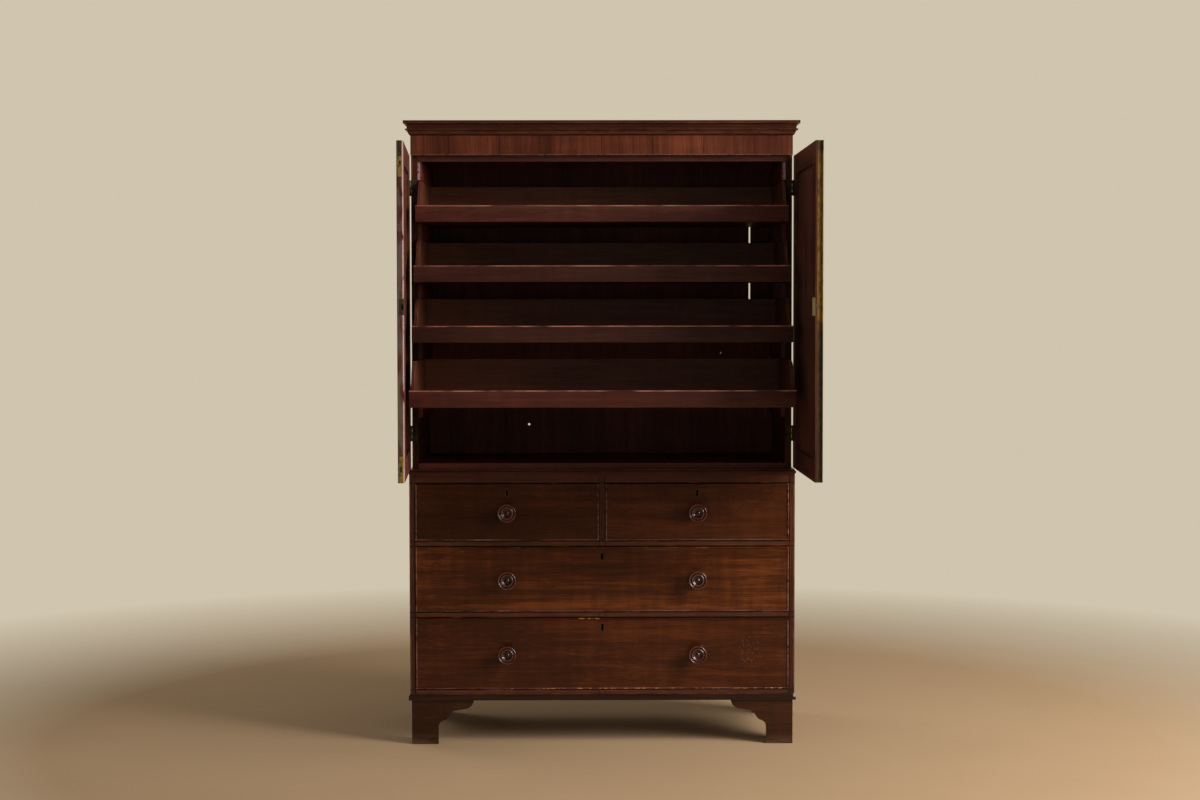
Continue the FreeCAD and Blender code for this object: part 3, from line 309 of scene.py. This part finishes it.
def dress(material, *names):
    """Give CAD nodes a finish in place of their plain one."""
    for name in names:
        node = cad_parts[name]
        if not node.material_slots:
            node.data.materials.append(material)
        for slot in node.material_slots:
            slot.material = material


chest_low, chest_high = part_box("chest_side_right")
cupboard_low, cupboard_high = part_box("cupboard_side_right")
gap_shadow_black = paint(10, 5, 4)
opening_side = 0.5990
muntin_side = 0.0100
short_drawer_foot = 0.657
drawer_openings = ((0.178, 0.410), (0.428, 0.639), (short_drawer_foot, 0.842))


def corner_rub(low, high):
    """The upright front corners of a stage, found from the box of its right side."""
    def mask(finish):
        x, y, z = finish.place()
        outer = finish.between(abs(x), high[0] - 0.006, high[0] - 0.001)
        return outer * finish.between(y, low[1] + 0.007, low[1] + 0.001) * 0.8
    return mask


def gap_shadow(finish):
    """The black line of painted shadow in the gap round each drawer, on the edges of the wood beside
    it.
    """
    x, y, z = finish.place()
    soft = 0.0003
    line = finish.within(abs(x), opening_side - 0.0004, opening_side + 0.0038, soft)
    line = finish.most(line, finish.within(abs(x), muntin_side - 0.0016, muntin_side + 0.0004, soft))
    for foot, head in drawer_openings:
        line = finish.most(line, finish.within(z, foot - 0.0028, foot + 0.0002, soft))
        line = finish.most(line, finish.within(z, head - 0.0002, head + 0.0030, soft))
    return line * finish.between(y, chest_low[1] + 0.004, chest_low[1] + 0.003) * 2.5


chest_wood = mahogany(
    "chest side mahogany", "z", case_tones,
    marks=[(corner_rub(chest_low, chest_high), pale_mahogany), (gap_shadow, gap_shadow_black)],
)
dress(chest_wood, "chest_side_left", "chest_side_right")
cupboard_wood = mahogany(
    "cupboard side mahogany", "z", case_tones,
    marks=[(corner_rub(cupboard_low, cupboard_high), pale_mahogany)],
)
dress(cupboard_wood, "cupboard_side_left", "cupboard_side_right")


def upright_muntin(finish):
    """The muntin, between the short drawers."""
    x, y, z = finish.place()
    narrow = finish.between(abs(x), muntin_side + 0.0005, muntin_side - 0.0005)
    return narrow * finish.between(z, short_drawer_foot - 0.0005, short_drawer_foot + 0.0005)


rail_tones = (paint(46, 18, 9), paint(72, 34, 18), paint(102, 52, 30))
rail_wood = mahogany(
    "rail mahogany", "x", rail_tones, cross=("z", upright_muntin), marks=[(gap_shadow, gap_shadow_black)],
)
dress(rail_wood, "drawer_rails")
head_tones = (paint(52, 24, 17), paint(76, 40, 29), paint(100, 56, 42))
dress(mahogany("cupboard rail mahogany", "x", head_tones), "cupboard_rail")

moulding_tones = (paint(37, 14, 7), paint(57, 24, 13), paint(82, 38, 21))
cornice_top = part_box("cornice_moulding")[1][2]
waist_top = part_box("waist_moulding")[1][2]
base_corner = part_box("base_moulding")[1][0]
base_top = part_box("base_moulding")[1][2]


def moulding_rub_and_highlight(finish):
    """The upper arrises of the three mouldings, rubbed pale, and a band across the cornice painted
    lighter as a highlight, each kept to its own height on the press.
    """
    x, y, z = finish.place()
    cornice = finish.within(z, cornice_top - 0.010, cornice_top - 0.006, 0.001) * 0.25
    # A painted highlight: a lighter band lower on the cornice.
    cornice = cornice + finish.within(z, cornice_top - 0.042, cornice_top - 0.026, 0.001) * 0.18
    waist = finish.between(z, waist_top - 0.003, waist_top - 0.0005) * 0.5
    base = finish.within(z, base_top - 0.003, base_top, 0.0006) * 0.35
    upper = finish.most(cornice, waist * finish.between(z, 1.0, 0.99))
    return upper + base * finish.between(z, 0.3, 0.29)


moulded_wood = mahogany(
    "moulding mahogany", "round", moulding_tones, polish=0.28, marks=[(moulding_rub_and_highlight, pale_mahogany)],
)
dress(moulded_wood, "waist_moulding", "cornice_moulding")
plinth_tones = (paint(24, 10, 5), paint(36, 16, 8), paint(52, 26, 15))


def corner_chip_highlight(finish):
    """A bruise at the base moulding's front right corner, its pale grey a painted highlight."""
    x, y, z = finish.place()
    corner = finish.within(x, base_corner - 0.007, base_corner + 0.001, 0.002)
    corner = corner * finish.between(y, -0.255, -0.262)
    return corner * finish.between(z, base_top - 0.014, base_top - 0.010) * 2


plinth_worn = [(moulding_rub_and_highlight, pale_mahogany), (corner_chip_highlight, paint(134, 130, 128))]
dress(mahogany("base mahogany", "round", plinth_tones, marks=plinth_worn), "base_moulding")


def toe_rub(finish):
    """The bottoms of the feet, scuffed by shoes and brooms."""
    return finish.between(finish.place()[2], 0.035, 0.002) * 0.7


foot_tones = (paint(28, 11, 2), paint(44, 19, 5), paint(66, 33, 13))
foot_wood = mahogany("foot mahogany", "x", foot_tones, marks=[(toe_rub, paint(86, 62, 42))])
dress(foot_wood, "feet_front", "feet_back")


# Unseen boards are plain sawn pine, browned by age: the chest's top, bottom
# and back, the runners and dust boards, the glue blocks and the cupboard's lid.

def plain_wood(name, grain, dark, light, rough, coarse):
    """A dull sawn board with growth rings drawn out along its grain."""
    wood = Finish(name)
    along, across, through = grain_axes(wood, grain)
    drift = wood.noise(wood.vector(along * 1.2, across * 5, through * 5), detail=2)
    bent = (across + drift * 0.09) * coarse
    rings = wood.noise(wood.vector(along * 0.8, bent, through * coarse), detail=3)
    fine = wood.noise(wood.vector(along * 16, across * 420, through * 420), detail=2)
    stain = wood.noise(wood.vector(along * 3, across * 3, through * 3), detail=4)
    colour = wood.blend(wood.between(rings * 0.6 + fine * 0.4, 0.30, 0.70), dark, light)
    colour = wood.blend(wood.between(stain, 0.40, 0.80) * 0.4, colour, dark)
    return wood.surface({
        "Base Color": colour,
        "Roughness": rough + (fine - 0.5) * 0.2,
        "Normal": wood.bumps(fine, 0.35, 0.0004),
    })


pine_dark = paint(92, 64, 40)
pine_light = paint(140, 106, 70)
pine = plain_wood("old pine", "x", pine_dark, pine_light, rough=0.75, coarse=55)
dress(pine, "chest_top_board", "chest_bottom_board", "chest_back_boards", "cupboard_lid", "foot_blocks")
deep_pine = plain_wood("old pine runners", "y", pine_dark, pine_light, rough=0.75, coarse=55)
dress(deep_pine, "drawer_runners", "dust_boards")


# The drawers: fronts veneered with mahogany inside a solid cockbead and dovetailed
# to oak sides, with a lock behind each keyhole and its thin brass lining.

def aged_metal(name, dark, light, rough, shadow=None, metallic=0.4):
    """Old metal: brown and matt in patches, brighter where it is rubbed.

    Shadow gives a mask and the tint of what is blackened there.
    """
    metal = Finish(name)
    x, y, z = metal.place()
    patch = metal.noise(metal.vector(x * 90, y * 90, z * 38), detail=4, roughness=0.6)
    scratches = metal.noise(metal.vector(x * 900, y * 900, z * 60), detail=2)
    clean = metal.between(patch, 0.38, 0.62)
    colour = metal.blend(clean, dark, light)
    if shadow:
        mask, tint = shadow
        gloom = mask(metal)
        colour = metal.blend(gloom, colour, tint)
        clean = clean * (1 - gloom)
    return metal.surface({
        "Base Color": colour,
        "Metallic": clean * 0.4 + metallic,
        "Roughness": rough + (1 - clean) * 0.2 + (scratches - 0.5) * 0.12,
        "Normal": metal.bumps(scratches + patch, 0.2, 0.0002),
    })


bead_rise = 0.003
drawer_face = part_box("middle_drawer_front")[0][1] + bead_rise
drawer_back_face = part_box("middle_drawer_front")[1][1]
tail_count = 5


def keyhole_shade(finish):
    """The part of a lock that only shows through its keyhole, painted near black as the shade in it."""
    return finish.within(finish.place()[1], drawer_face + 0.0012, drawer_back_face - 0.0072, 0.0005)


lock_brass = aged_metal(
    "lock brass", paint(26, 18, 10), paint(88, 74, 50), 0.40, shadow=(keyhole_shade, paint(5, 4, 3)),
)
steel = aged_metal("old steel", paint(62, 58, 54), paint(136, 132, 124), 0.36)
oak_dark = paint(96, 70, 44)
oak_light = paint(150, 114, 74)
oak = plain_wood("drawer oak", "y", oak_dark, oak_light, rough=0.7, coarse=60)


def front_mahogany(drawer, figure, tones):
    """A drawer's front: the tails of its oak sides show on its ends, and its beads are chipped and
    carry a painted highlight.
    """
    low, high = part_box(drawer + "_front")
    tail = (high[2] - low[2]) / tail_count

    def tails(finish):
        """The ends of the oak sides, dovetailed into the front from behind."""
        x, y, z = finish.place()
        ends = finish.between(x, low[0] + 0.0006, low[0] + 0.0003)
        ends = finish.most(ends, finish.between(x, high[0] - 0.0006, high[0] - 0.0003))
        deep = finish.between(y, drawer_face + 0.0066, drawer_face + 0.007)
        turn = (z - low[2]) / tail
        turn = turn - finish.node("Math", {"operation": "FLOOR"}, {0: turn})
        half = 0.40 - finish.between(y, drawer_face + 0.007, drawer_back_face) * 0.12
        return ends * deep * finish.between(half - abs(turn - 0.5), 0, 0.01)

    def bead_wear_and_highlight(finish):
        """The cockbead, which stands proud: painted pale along the ends and the foot as a highlight,
        and bare in chips.
        """
        x, y, z = finish.place()
        proud = finish.between(y, low[1] + 0.0018, low[1] + 0.0006)
        left = finish.between(x, low[0] + 0.005, low[0] + 0.004)
        sides = finish.most(left, finish.between(x, high[0] - 0.005, high[0] - 0.004))
        foot = finish.between(z, low[2] + 0.005, low[2] + 0.004)
        chips = finish.noise(finish.vector(x * 14, 0.3, z * 40), detail=3, roughness=0.7)
        return proud * (sides * 0.55 + foot * 0.4 + finish.between(chips, 0.62, 0.68) * 0.35)

    def splinters(finish):
        """Bare splinters along the foot and in the middle of the top, and scratches to the right."""
        x, y, z = finish.place()
        chips = finish.noise(finish.vector(x * 75, 0.7, z * 60), detail=3, roughness=0.7)
        foot = finish.between(z, low[2] + 0.0036, low[2] + 0.0026) * finish.between(x, -0.35, -0.15)
        top = finish.between(z, high[2] - 0.0034, high[2] - 0.0028)
        top = top * finish.within(x, -0.075, -0.008, 0.004)
        scratches = finish.noise(finish.vector(x * 320, 0.2, z * 110), detail=2, roughness=0.6)
        right = finish.within(x, 0.445, 0.500, 0.012)
        right = right * finish.within(z, low[2] + 0.085, low[2] + 0.165, 0.02)
        rims = foot * finish.between(chips, 0.52, 0.57) * 2 + top * finish.between(chips, 0.46, 0.54)
        return rims + right * finish.between(scratches, 0.62, 0.66) * 0.6

    marks = [(bead_wear_and_highlight, paint(128, 92, 84))]
    if drawer == "bottom_drawer":
        marks.append((splinters, paint(176, 128, 84)))
    return mahogany(
        drawer + " mahogany", "x", tones, figure=figure, polish=0.23, wave=0.2, marks=marks,
        inlay=(tails, (oak_dark, oak_light)),
    )


front_looks = {
    "short_drawer_left": (1.0, (paint(38, 13, 3), paint(53, 22, 6), paint(78, 35, 12))),
    "short_drawer_right": (1.0, (paint(42, 16, 4), paint(60, 26, 8), paint(88, 42, 16))),
    "middle_drawer": (1.35, (paint(40, 15, 3), paint(64, 27, 7), paint(104, 52, 18))),
    "bottom_drawer": (1.0, (paint(36, 12, 2), paint(55, 21, 5), paint(90, 41, 14))),
}
for drawer, (figure, tones) in front_looks.items():
    dress(front_mahogany(drawer, figure, tones), drawer + "_front")
    dress(oak, drawer + "_box")
    dress(lock_brass, drawer + "_lock")
    dress(steel, drawer + "_lock_bolt")


# The knobs: each is turned in one piece from dark mahogany with the shank that is
# glued through the drawer's front, and has a half-round rim, a ridge and a dished face.
# The rings give how far each stands out from the drawer and how wide the knob is there.

knob_radius = 0.03
shank_radius = 0.008
shank_length = 0.02
knob_rings = (
    (0.0, 0.0150), (0.0028, 0.0153), (0.0042, 0.0146), (0.0052, 0.0130), (0.0068, 0.0120),
    (0.0095, 0.0123), (0.0145, 0.0146), (0.0205, 0.0187), (0.0262, 0.0234), (0.0310, 0.0271),
    (0.0345, 0.0292), (0.0372, 0.0299), (0.0394, 0.0296), (0.0411, 0.0286), (0.0419, 0.0272),
    (0.0416, 0.0257), (0.0402, 0.0245), (0.0388, 0.0236), (0.0384, 0.0222), (0.0390, 0.0209),
    (0.0406, 0.0198), (0.0417, 0.0183), (0.0415, 0.0167), (0.0401, 0.0153), (0.0381, 0.0136),
    (0.0366, 0.0112), (0.0359, 0.0084), (0.0360, 0.0064), (0.0373, 0.0052), (0.0382, 0.0036),
    (0.0386, 0.0016),
)


def knob_crests(finish):
    """The rim and the ridge, rubbed by hands."""
    out = drawer_face - finish.place()[1]
    return finish.between(out, 0.0396, 0.0414) * 0.8


def knob_groove_shade(finish):
    """The groove between them and the dish, painted black as shade."""
    out = drawer_face - finish.place()[1]
    return finish.between(out, 0.0396, 0.0384) * finish.between(out, 0.0345, 0.0352)


knob_tones = (paint(38, 14, 10), paint(58, 24, 18), paint(84, 38, 30))
knob_wood = mahogany(
    "knob mahogany", "z", knob_tones, figure=0.6, polish=0.25, coat=0.75,
    marks=[(knob_crests, paint(88, 50, 42)), (knob_groove_shade, paint(10, 4, 3))],
)


def turn_knob(name):
    """Turn a knob on the origin by drawing a disc out along Y, ring by ring."""
    bpy.ops.object.select_all(action="DESELECT")
    bpy.ops.mesh.primitive_circle_add(
        vertices=48, radius=shank_radius, fill_type="NGON",
        location=(0, shank_length, 0), rotation=(math.pi / 2, 0, 0),
    )
    piece = bpy.context.object
    piece.name = name
    bpy.ops.object.transform_apply()
    bpy.ops.object.mode_set(mode="EDIT")
    bpy.ops.mesh.select_all(action="SELECT")
    place, radius = -shank_length, shank_radius
    for out, wide in ((0.0, shank_radius),) + knob_rings:
        bpy.ops.mesh.extrude_region_move(TRANSFORM_OT_translate={"value": (0, place - out, 0)})
        bpy.ops.transform.resize(value=(wide / radius, 1, wide / radius), center_override=(0, -out, 0))
        place, radius = out, wide
    bpy.ops.mesh.merge(type="CENTER")
    bpy.ops.mesh.select_all(action="SELECT")
    bpy.ops.mesh.normals_make_consistent(inside=False)
    bpy.ops.object.mode_set(mode="OBJECT")
    bpy.ops.object.shade_smooth()
    piece.data.materials.append(knob_wood)
    return piece


def place_copy(pattern, name, place):
    """A copy of a finished piece with its own mesh, moved to its place."""
    bpy.ops.object.select_all(action="DESELECT")
    copy = pattern.copy()
    copy.data = pattern.data.copy()
    copy.name = name
    bpy.context.scene.collection.objects.link(copy)
    copy.location = place
    copy.select_set(True)
    bpy.context.view_layer.objects.active = copy
    bpy.ops.object.transform_apply()
    return copy


first_knob = turn_knob("knob_pattern")
for drawer in front_looks:
    low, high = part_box(drawer + "_knobs")
    height = (low[2] + high[2]) / 2
    centres = sorted({round(low[0] + knob_radius, 4), round(high[0] - knob_radius, 4)})
    for number, centre in enumerate(centres, start=1):
        knob = place_copy(first_knob, f"{drawer}_knob_{number}", (centre, drawer_face, height))
        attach(knob, drawer)
        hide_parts(drawer + "_knobs")
bpy.data.objects.remove(first_knob)


# The cupboard's frieze is crossbanded: short strips of bright mahogany veneer
# with their grain upright, laid side by side over a plain board.

frieze_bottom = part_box("frieze")[0][2]
strip_width = 0.163


def frieze_foot(finish):
    """The frieze's lower arris, rubbed pale above the doors."""
    return finish.between(finish.place()[2], frieze_bottom + 0.0035, frieze_bottom + 0.001) * 0.6


frieze_tones = (paint(52, 21, 12), paint(75, 35, 20), paint(104, 51, 29))
frieze_wood = mahogany(
    "crossbanded mahogany", "z", frieze_tones, figure=1.2, polish=0.28,
    strips=strip_width, marks=[(frieze_foot, paint(122, 88, 66))],
)
dress(frieze_wood, "frieze")


# Inside, everything is plain waxed mahogany: runners, floor and the panelled back.

inner_tones = (paint(74, 29, 20), paint(100, 43, 31), paint(126, 62, 46))
dress(mahogany("floor mahogany", "x", inner_tones, polish=0.45, coat=0.0), "cupboard_bottom")
runner_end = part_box("tray_runners")[0][1]


def runner_end_highlight(finish):
    """The front ends of the runners, painted pale as a highlight: faintly on all, strongly on the upper
    pair.
    """
    x, y, z = finish.place()
    top = finish.between(z, 1.80, 1.82) * finish.between(abs(x), 0.5822, 0.5832)
    return finish.between(y, runner_end + 0.003, runner_end + 0.001) * (top * 2 + 0.1)


runner_wood = mahogany(
    "runner mahogany", "y", inner_tones, polish=0.4, coat=0.0,
    marks=[(runner_end_highlight, paint(150, 128, 124))],
)
dress(runner_wood, "tray_runners")
back_wood = mahogany("back mahogany", "z", inner_tones, polish=0.5, coat=0.0)
dress(back_wood, "cupboard_back_frame", "cupboard_back_panels")


# The linen trays: a low lip, swept sides, a back and a thin bottom, all plain
# mahogany, with the lip's upper edge rubbed pale by two centuries of hands and a painted highlight
# along it.

lip_height = 0.052
lip_thickness = 0.012
side_thickness = 0.0105
sweep_foot = 0.044
sweep_length = 0.114
bottom_lift = 0.003
bottom_thickness = 0.006


def plank(name, low, high):
    """A board sawn to size, its bevels still to be made."""
    bpy.ops.object.select_all(action="DESELECT")
    middle = [(a + b) / 2 for a, b in zip(low, high)]
    bpy.ops.mesh.primitive_cube_add(size=1, location=middle, scale=[b - a for a, b in zip(low, high)])
    piece = bpy.context.object
    piece.name = name
    bpy.ops.object.transform_apply()
    return piece


def pick(piece, kind, test):
    """Select the faces or edges of a piece in edit mode whose middles pass a test."""
    bpy.ops.object.mode_set(mode="EDIT")
    bpy.ops.mesh.select_mode(type=kind)
    bpy.ops.mesh.select_all(action="DESELECT")
    bpy.ops.object.mode_set(mode="OBJECT")
    points = piece.data.vertices
    parts = piece.data.polygons if kind == "FACE" else piece.data.edges
    for part in parts:
        corners = [points[index].co for index in part.vertices]
        part.select = test(*(sum(corners, Vector()) / len(corners)))
    bpy.ops.object.mode_set(mode="EDIT")


def close_to(value, target):
    """Whether a place is the one meant, within less than half a millimetre."""
    return abs(value - target) < 0.0004


def soften(piece, width, segments=2):
    """Round a piece's arrises a little, and shade it smooth across them."""
    bevel = piece.modifiers.new("arris", "BEVEL")
    bevel.width = width
    bevel.segments = segments
    bevel.limit_method = "ANGLE"
    bevel.angle_limit = 0.7
    bpy.context.view_layer.objects.active = piece
    bpy.ops.object.modifier_apply(modifier="arris")
    bpy.ops.object.shade_smooth_by_angle(angle=0.6)


def tray_side(low, high, front):
    """A tray's side: a plank raised behind its front end, then rounded into an S.

    The S is two arcs of the same radius, and its bends stay a hair apart.
    """
    rise = high[2] - low[2] - lip_height
    lip_top = low[2] + lip_height
    bend = math.atan(rise / sweep_length)
    radius = (sweep_length ** 2 + rise ** 2) / (rise * 4)
    reach = radius * math.tan(bend)
    foot = front + sweep_foot + reach
    lean = sweep_length - 2 * reach
    side = plank("tray_side", low, (high[0], high[1], lip_top))
    bpy.ops.object.mode_set(mode="EDIT")
    bpy.ops.mesh.select_all(action="SELECT")
    bpy.ops.mesh.bisect(plane_co=(0, foot, 0), plane_no=(0, 1, 0))
    pick(side, "FACE", lambda x, y, z: close_to(z, lip_top) and y > foot)
    bpy.ops.mesh.extrude_region_move(TRANSFORM_OT_translate={"value": (0, 0, rise)})
    pick(side, "EDGE", lambda x, y, z: close_to(z, high[2]) and close_to(y, foot))
    bpy.ops.transform.translate(value=(0, lean, 0))
    pick(side, "EDGE", lambda x, y, z: (
        close_to(z, high[2]) and close_to(y, foot + lean) or close_to(z, lip_top) and close_to(y, foot)
    ))
    bpy.ops.mesh.bevel(offset=reach * 0.998, segments=9, affect="EDGES")
    bpy.ops.object.mode_set(mode="OBJECT")
    return side


def build_tray(name, low, high):
    """One tray inside its box: its five boards, rounded and joined."""
    left, front, foot = low
    right, back, top = high
    lip_back = front + lip_thickness
    inner_left, inner_right = left + side_thickness, right - side_thickness
    floor_foot = foot + bottom_lift
    floor_top = floor_foot + bottom_thickness
    lip = plank("tray_lip", low, (right, lip_back, foot + lip_height))
    soften(lip, 0.0022, 3)
    sides = [
        tray_side((left, lip_back, foot), (inner_left, back, top), front),
        tray_side((inner_right, lip_back, foot), high, front),
    ]
    rear = plank("tray_back", (inner_left, back - side_thickness, floor_top), (inner_right, back, top))
    bottom = plank("tray_bottom", (inner_left, lip_back, floor_foot), (inner_right, back, floor_top))
    for board in sides + [rear]:
        soften(board, 0.0012)
    bpy.ops.object.select_all(action="DESELECT")
    for board in [lip, rear, bottom] + sides:
        board.select_set(True)
    bpy.context.view_layer.objects.active = lip
    bpy.ops.object.join()
    lip.name = name
    return lip


tray_tones = (
    (paint(50, 22, 16), paint(74, 36, 27), paint(100, 54, 41)),
    (paint(42, 19, 14), paint(62, 32, 24), paint(86, 47, 36)),
    (paint(40, 19, 14), paint(59, 31, 24), paint(84, 46, 36)),
    (paint(46, 19, 14), paint(68, 31, 23), paint(94, 46, 34)),
)


def tray_mahogany(name, tones, low, high):
    """One tray's wood: its grain runs across, but along the sides, and its arrises are rubbed, the
    lip's with a painted highlight as well.
    """
    lip_top = low[2] + lip_height
    lip_back = low[1] + lip_thickness
    outer = high[0]
    inner = outer - side_thickness
    soft = 0.0001

    def side_boards(finish):
        """Both sides, behind the lip."""
        x, y, z = finish.place()
        beside = finish.between(abs(x), inner - soft, inner + soft)
        return beside * finish.between(y, lip_back + soft, lip_back + 2 * soft)

    def wear_and_painted_light(finish):
        """The lip's upper arris, rubbed pale and painted as a highlight, and the tops of the sides and
        the back.
        """
        x, y, z = finish.place()
        lip = finish.between(y, lip_back + 0.0005, lip_back - 0.0005)
        lip = lip * finish.between(z, lip_top - 0.0042, lip_top - 0.0018)
        tops = finish.between(z, high[2] - 0.002, high[2] - 0.0008) * 0.5
        return lip * 0.9 + tops

    def within_tray(finish):
        """The inside of the tray, paler because it was never polished, and a little of its sides."""
        x, y, z = finish.place()
        inside = finish.between(y, lip_back - 0.0015, lip_back + 0.0015)
        inside = inside * finish.between(outer - abs(x), 0.001, 0.002)
        return inside * (1 - finish.between(abs(x), inner - soft, inner + soft) * 0.8)

    return mahogany(
        name, "x", tones, figure=0.8, polish=0.36, coat=0.0, cross=("y", side_boards),
        marks=[(wear_and_painted_light, paint(176, 112, 90))],
        inlay=(within_tray, (paint(82, 42, 26), paint(122, 70, 44))),
    )


first_low, first_high = [Vector(corner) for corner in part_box("tray_1")]
first_tray = build_tray("tray_pattern", Vector(), first_high - first_low)
for number, tones in enumerate(tray_tones, start=1):
    node = f"tray_{number}"
    low, high = [Vector(corner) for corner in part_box(node)]
    tray = place_copy(first_tray, f"linen_tray_{number}", low)
    tray.data.materials.clear()
    tray.data.materials.append(tray_mahogany(f"tray {number} mahogany", tones, low, high))
    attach(tray, node)
    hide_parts(node)
bpy.data.objects.remove(first_tray)


# The doors: solid frames round thin panels, the rails' grain level and the stiles'
# upright. Their inner arrises and meeting edges are rubbed, and the left door's meeting arris has a
# painted highlight too.

door_low, door_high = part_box("right_door_frame")
hinge_line, door_end = door_high[1], door_low[1]
door_foot, door_head = door_low[2], door_high[2]
stile_width = 0.088
upper_rail, lower_rail = 0.062, 0.065
left_door_middle, left_door_lean = -0.6244, 0.0542
right_door_middle, right_door_lean = 0.6245, 0.007
frame_face, panel_face = 0.0100, 0.0030


def level_rails(finish):
    """A door's upper and lower rails, between its stiles."""
    x, y, z = finish.place()
    soft = 0.001
    upper = finish.between(z, door_head - upper_rail - soft, door_head - upper_rail + soft)
    lower = finish.between(z, door_foot + lower_rail + soft, door_foot + lower_rail - soft)
    between_stiles = finish.within(y, door_end + stile_width, hinge_line - stile_width, soft)
    return finish.most(upper, lower) * between_stiles


def inward(finish, side):
    """How far a point of a door stands in from the middle of its thickness, towards the case."""
    x, y, z = finish.place()
    if side == "left":
        return x - left_door_middle + (y - hinge_line) * left_door_lean
    return (x - right_door_middle + (y - hinge_line) * right_door_lean) * -1


def inner_side(side, depth):
    """The side of a door that closes against the case."""
    return lambda finish: finish.between(inward(finish, side), depth - 0.0004, depth)


def held_arris_highlight(finish):
    """The arris along the left door's meeting edge, rubbed by hands and painted pale as a highlight."""
    depth = inward(finish, "left")
    edge = finish.between(finish.place()[1], door_end + 0.006, door_end + 0.005)
    return edge * finish.between(depth, 0.0060, 0.0074) * 3


def held_edge(finish):
    """The left door's meeting edge, greyed by hands."""
    return finish.between(finish.place()[1], door_end + 0.0026, door_end + 0.0020) * 0.9


door_tones = (paint(42, 19, 11), paint(64, 32, 20), paint(92, 48, 30))
panel_tones = (paint(40, 18, 10), paint(66, 32, 17), paint(102, 54, 29))
meeting_edge_marks = [(held_edge, paint(92, 76, 66)), (held_arris_highlight, paint(192, 160, 154))]
for side, marks, frame_inside, panel_inside in (
    ("left", meeting_edge_marks, (paint(70, 36, 29), paint(118, 66, 54)), (paint(62, 32, 26), paint(104, 58, 48))),
    ("right", (), (paint(62, 34, 27), paint(100, 59, 48)), (paint(80, 46, 38), paint(124, 75, 62))),
):
    frame_wood = mahogany(
        f"{side} door frame mahogany", "z", door_tones, polish=0.32, coat=0.12,
        cross=("y", level_rails), inlay=(inner_side(side, frame_face), frame_inside), marks=marks,
    )
    dress(frame_wood, f"{side}_door_frame")
    panel_wood = mahogany(
        f"{side} door panel mahogany", "z", panel_tones, figure=1.5, polish=0.3, coat=0.15,
        inlay=(inner_side(side, panel_face), panel_inside),
    )
    dress(panel_wood, f"{side}_door_panel")


# The doors' brass: butt hinges, an astragal along the right door's meeting edge,
# flush bolts in the left door's, and the lock. All is tarnished where hands don't rub it.

def astragal_dull(finish):
    """The astragal's upper end and lower half, which hands don't rub."""
    height = finish.place()[2]
    lower = finish.between(height, 1.37, 1.33)
    head = finish.between(height, 1.85, 1.862)
    return finish.most(lower, head) * 0.85


bronze = aged_metal("hinge brass", paint(30, 27, 17), paint(84, 74, 44), 0.45)
dress(bronze, "case_hinges", "left_door_hinges", "right_door_hinges")


def plate_gloom(finish):
    """The blackened upper end of the top bolt's plate, and the whole of the strike plate."""
    height = finish.place()[2]
    head = finish.between(height, door_head - 0.050, door_head - 0.044)
    strike = finish.within(height, door_foot + 0.48, door_foot + 0.55, 0.001)
    return finish.most(head * 0.92, strike * 0.9)


plate_brass = aged_metal(
    "plate brass", paint(96, 74, 34), paint(196, 158, 74), 0.36,
    shadow=(plate_gloom, paint(26, 24, 15)),
)
dress(plate_brass, "left_door_plates")
# The door's lock is painted a pale near-white brass as a painted highlight.
door_lock_highlit_brass = aged_metal(
    "door lock brass", paint(170, 156, 96), paint(250, 244, 190), 0.5, metallic=0.0,
)
dress(door_lock_highlit_brass, "right_door_lock")
astragal_brass = aged_metal(
    "astragal brass", paint(84, 62, 26), paint(170, 132, 58), 0.42,
    shadow=(astragal_dull, paint(46, 38, 26)),
)
dress(astragal_brass, "astragal")
dress(steel, "flush_bolt_top", "flush_bolt_foot", "right_door_lock_bolt")
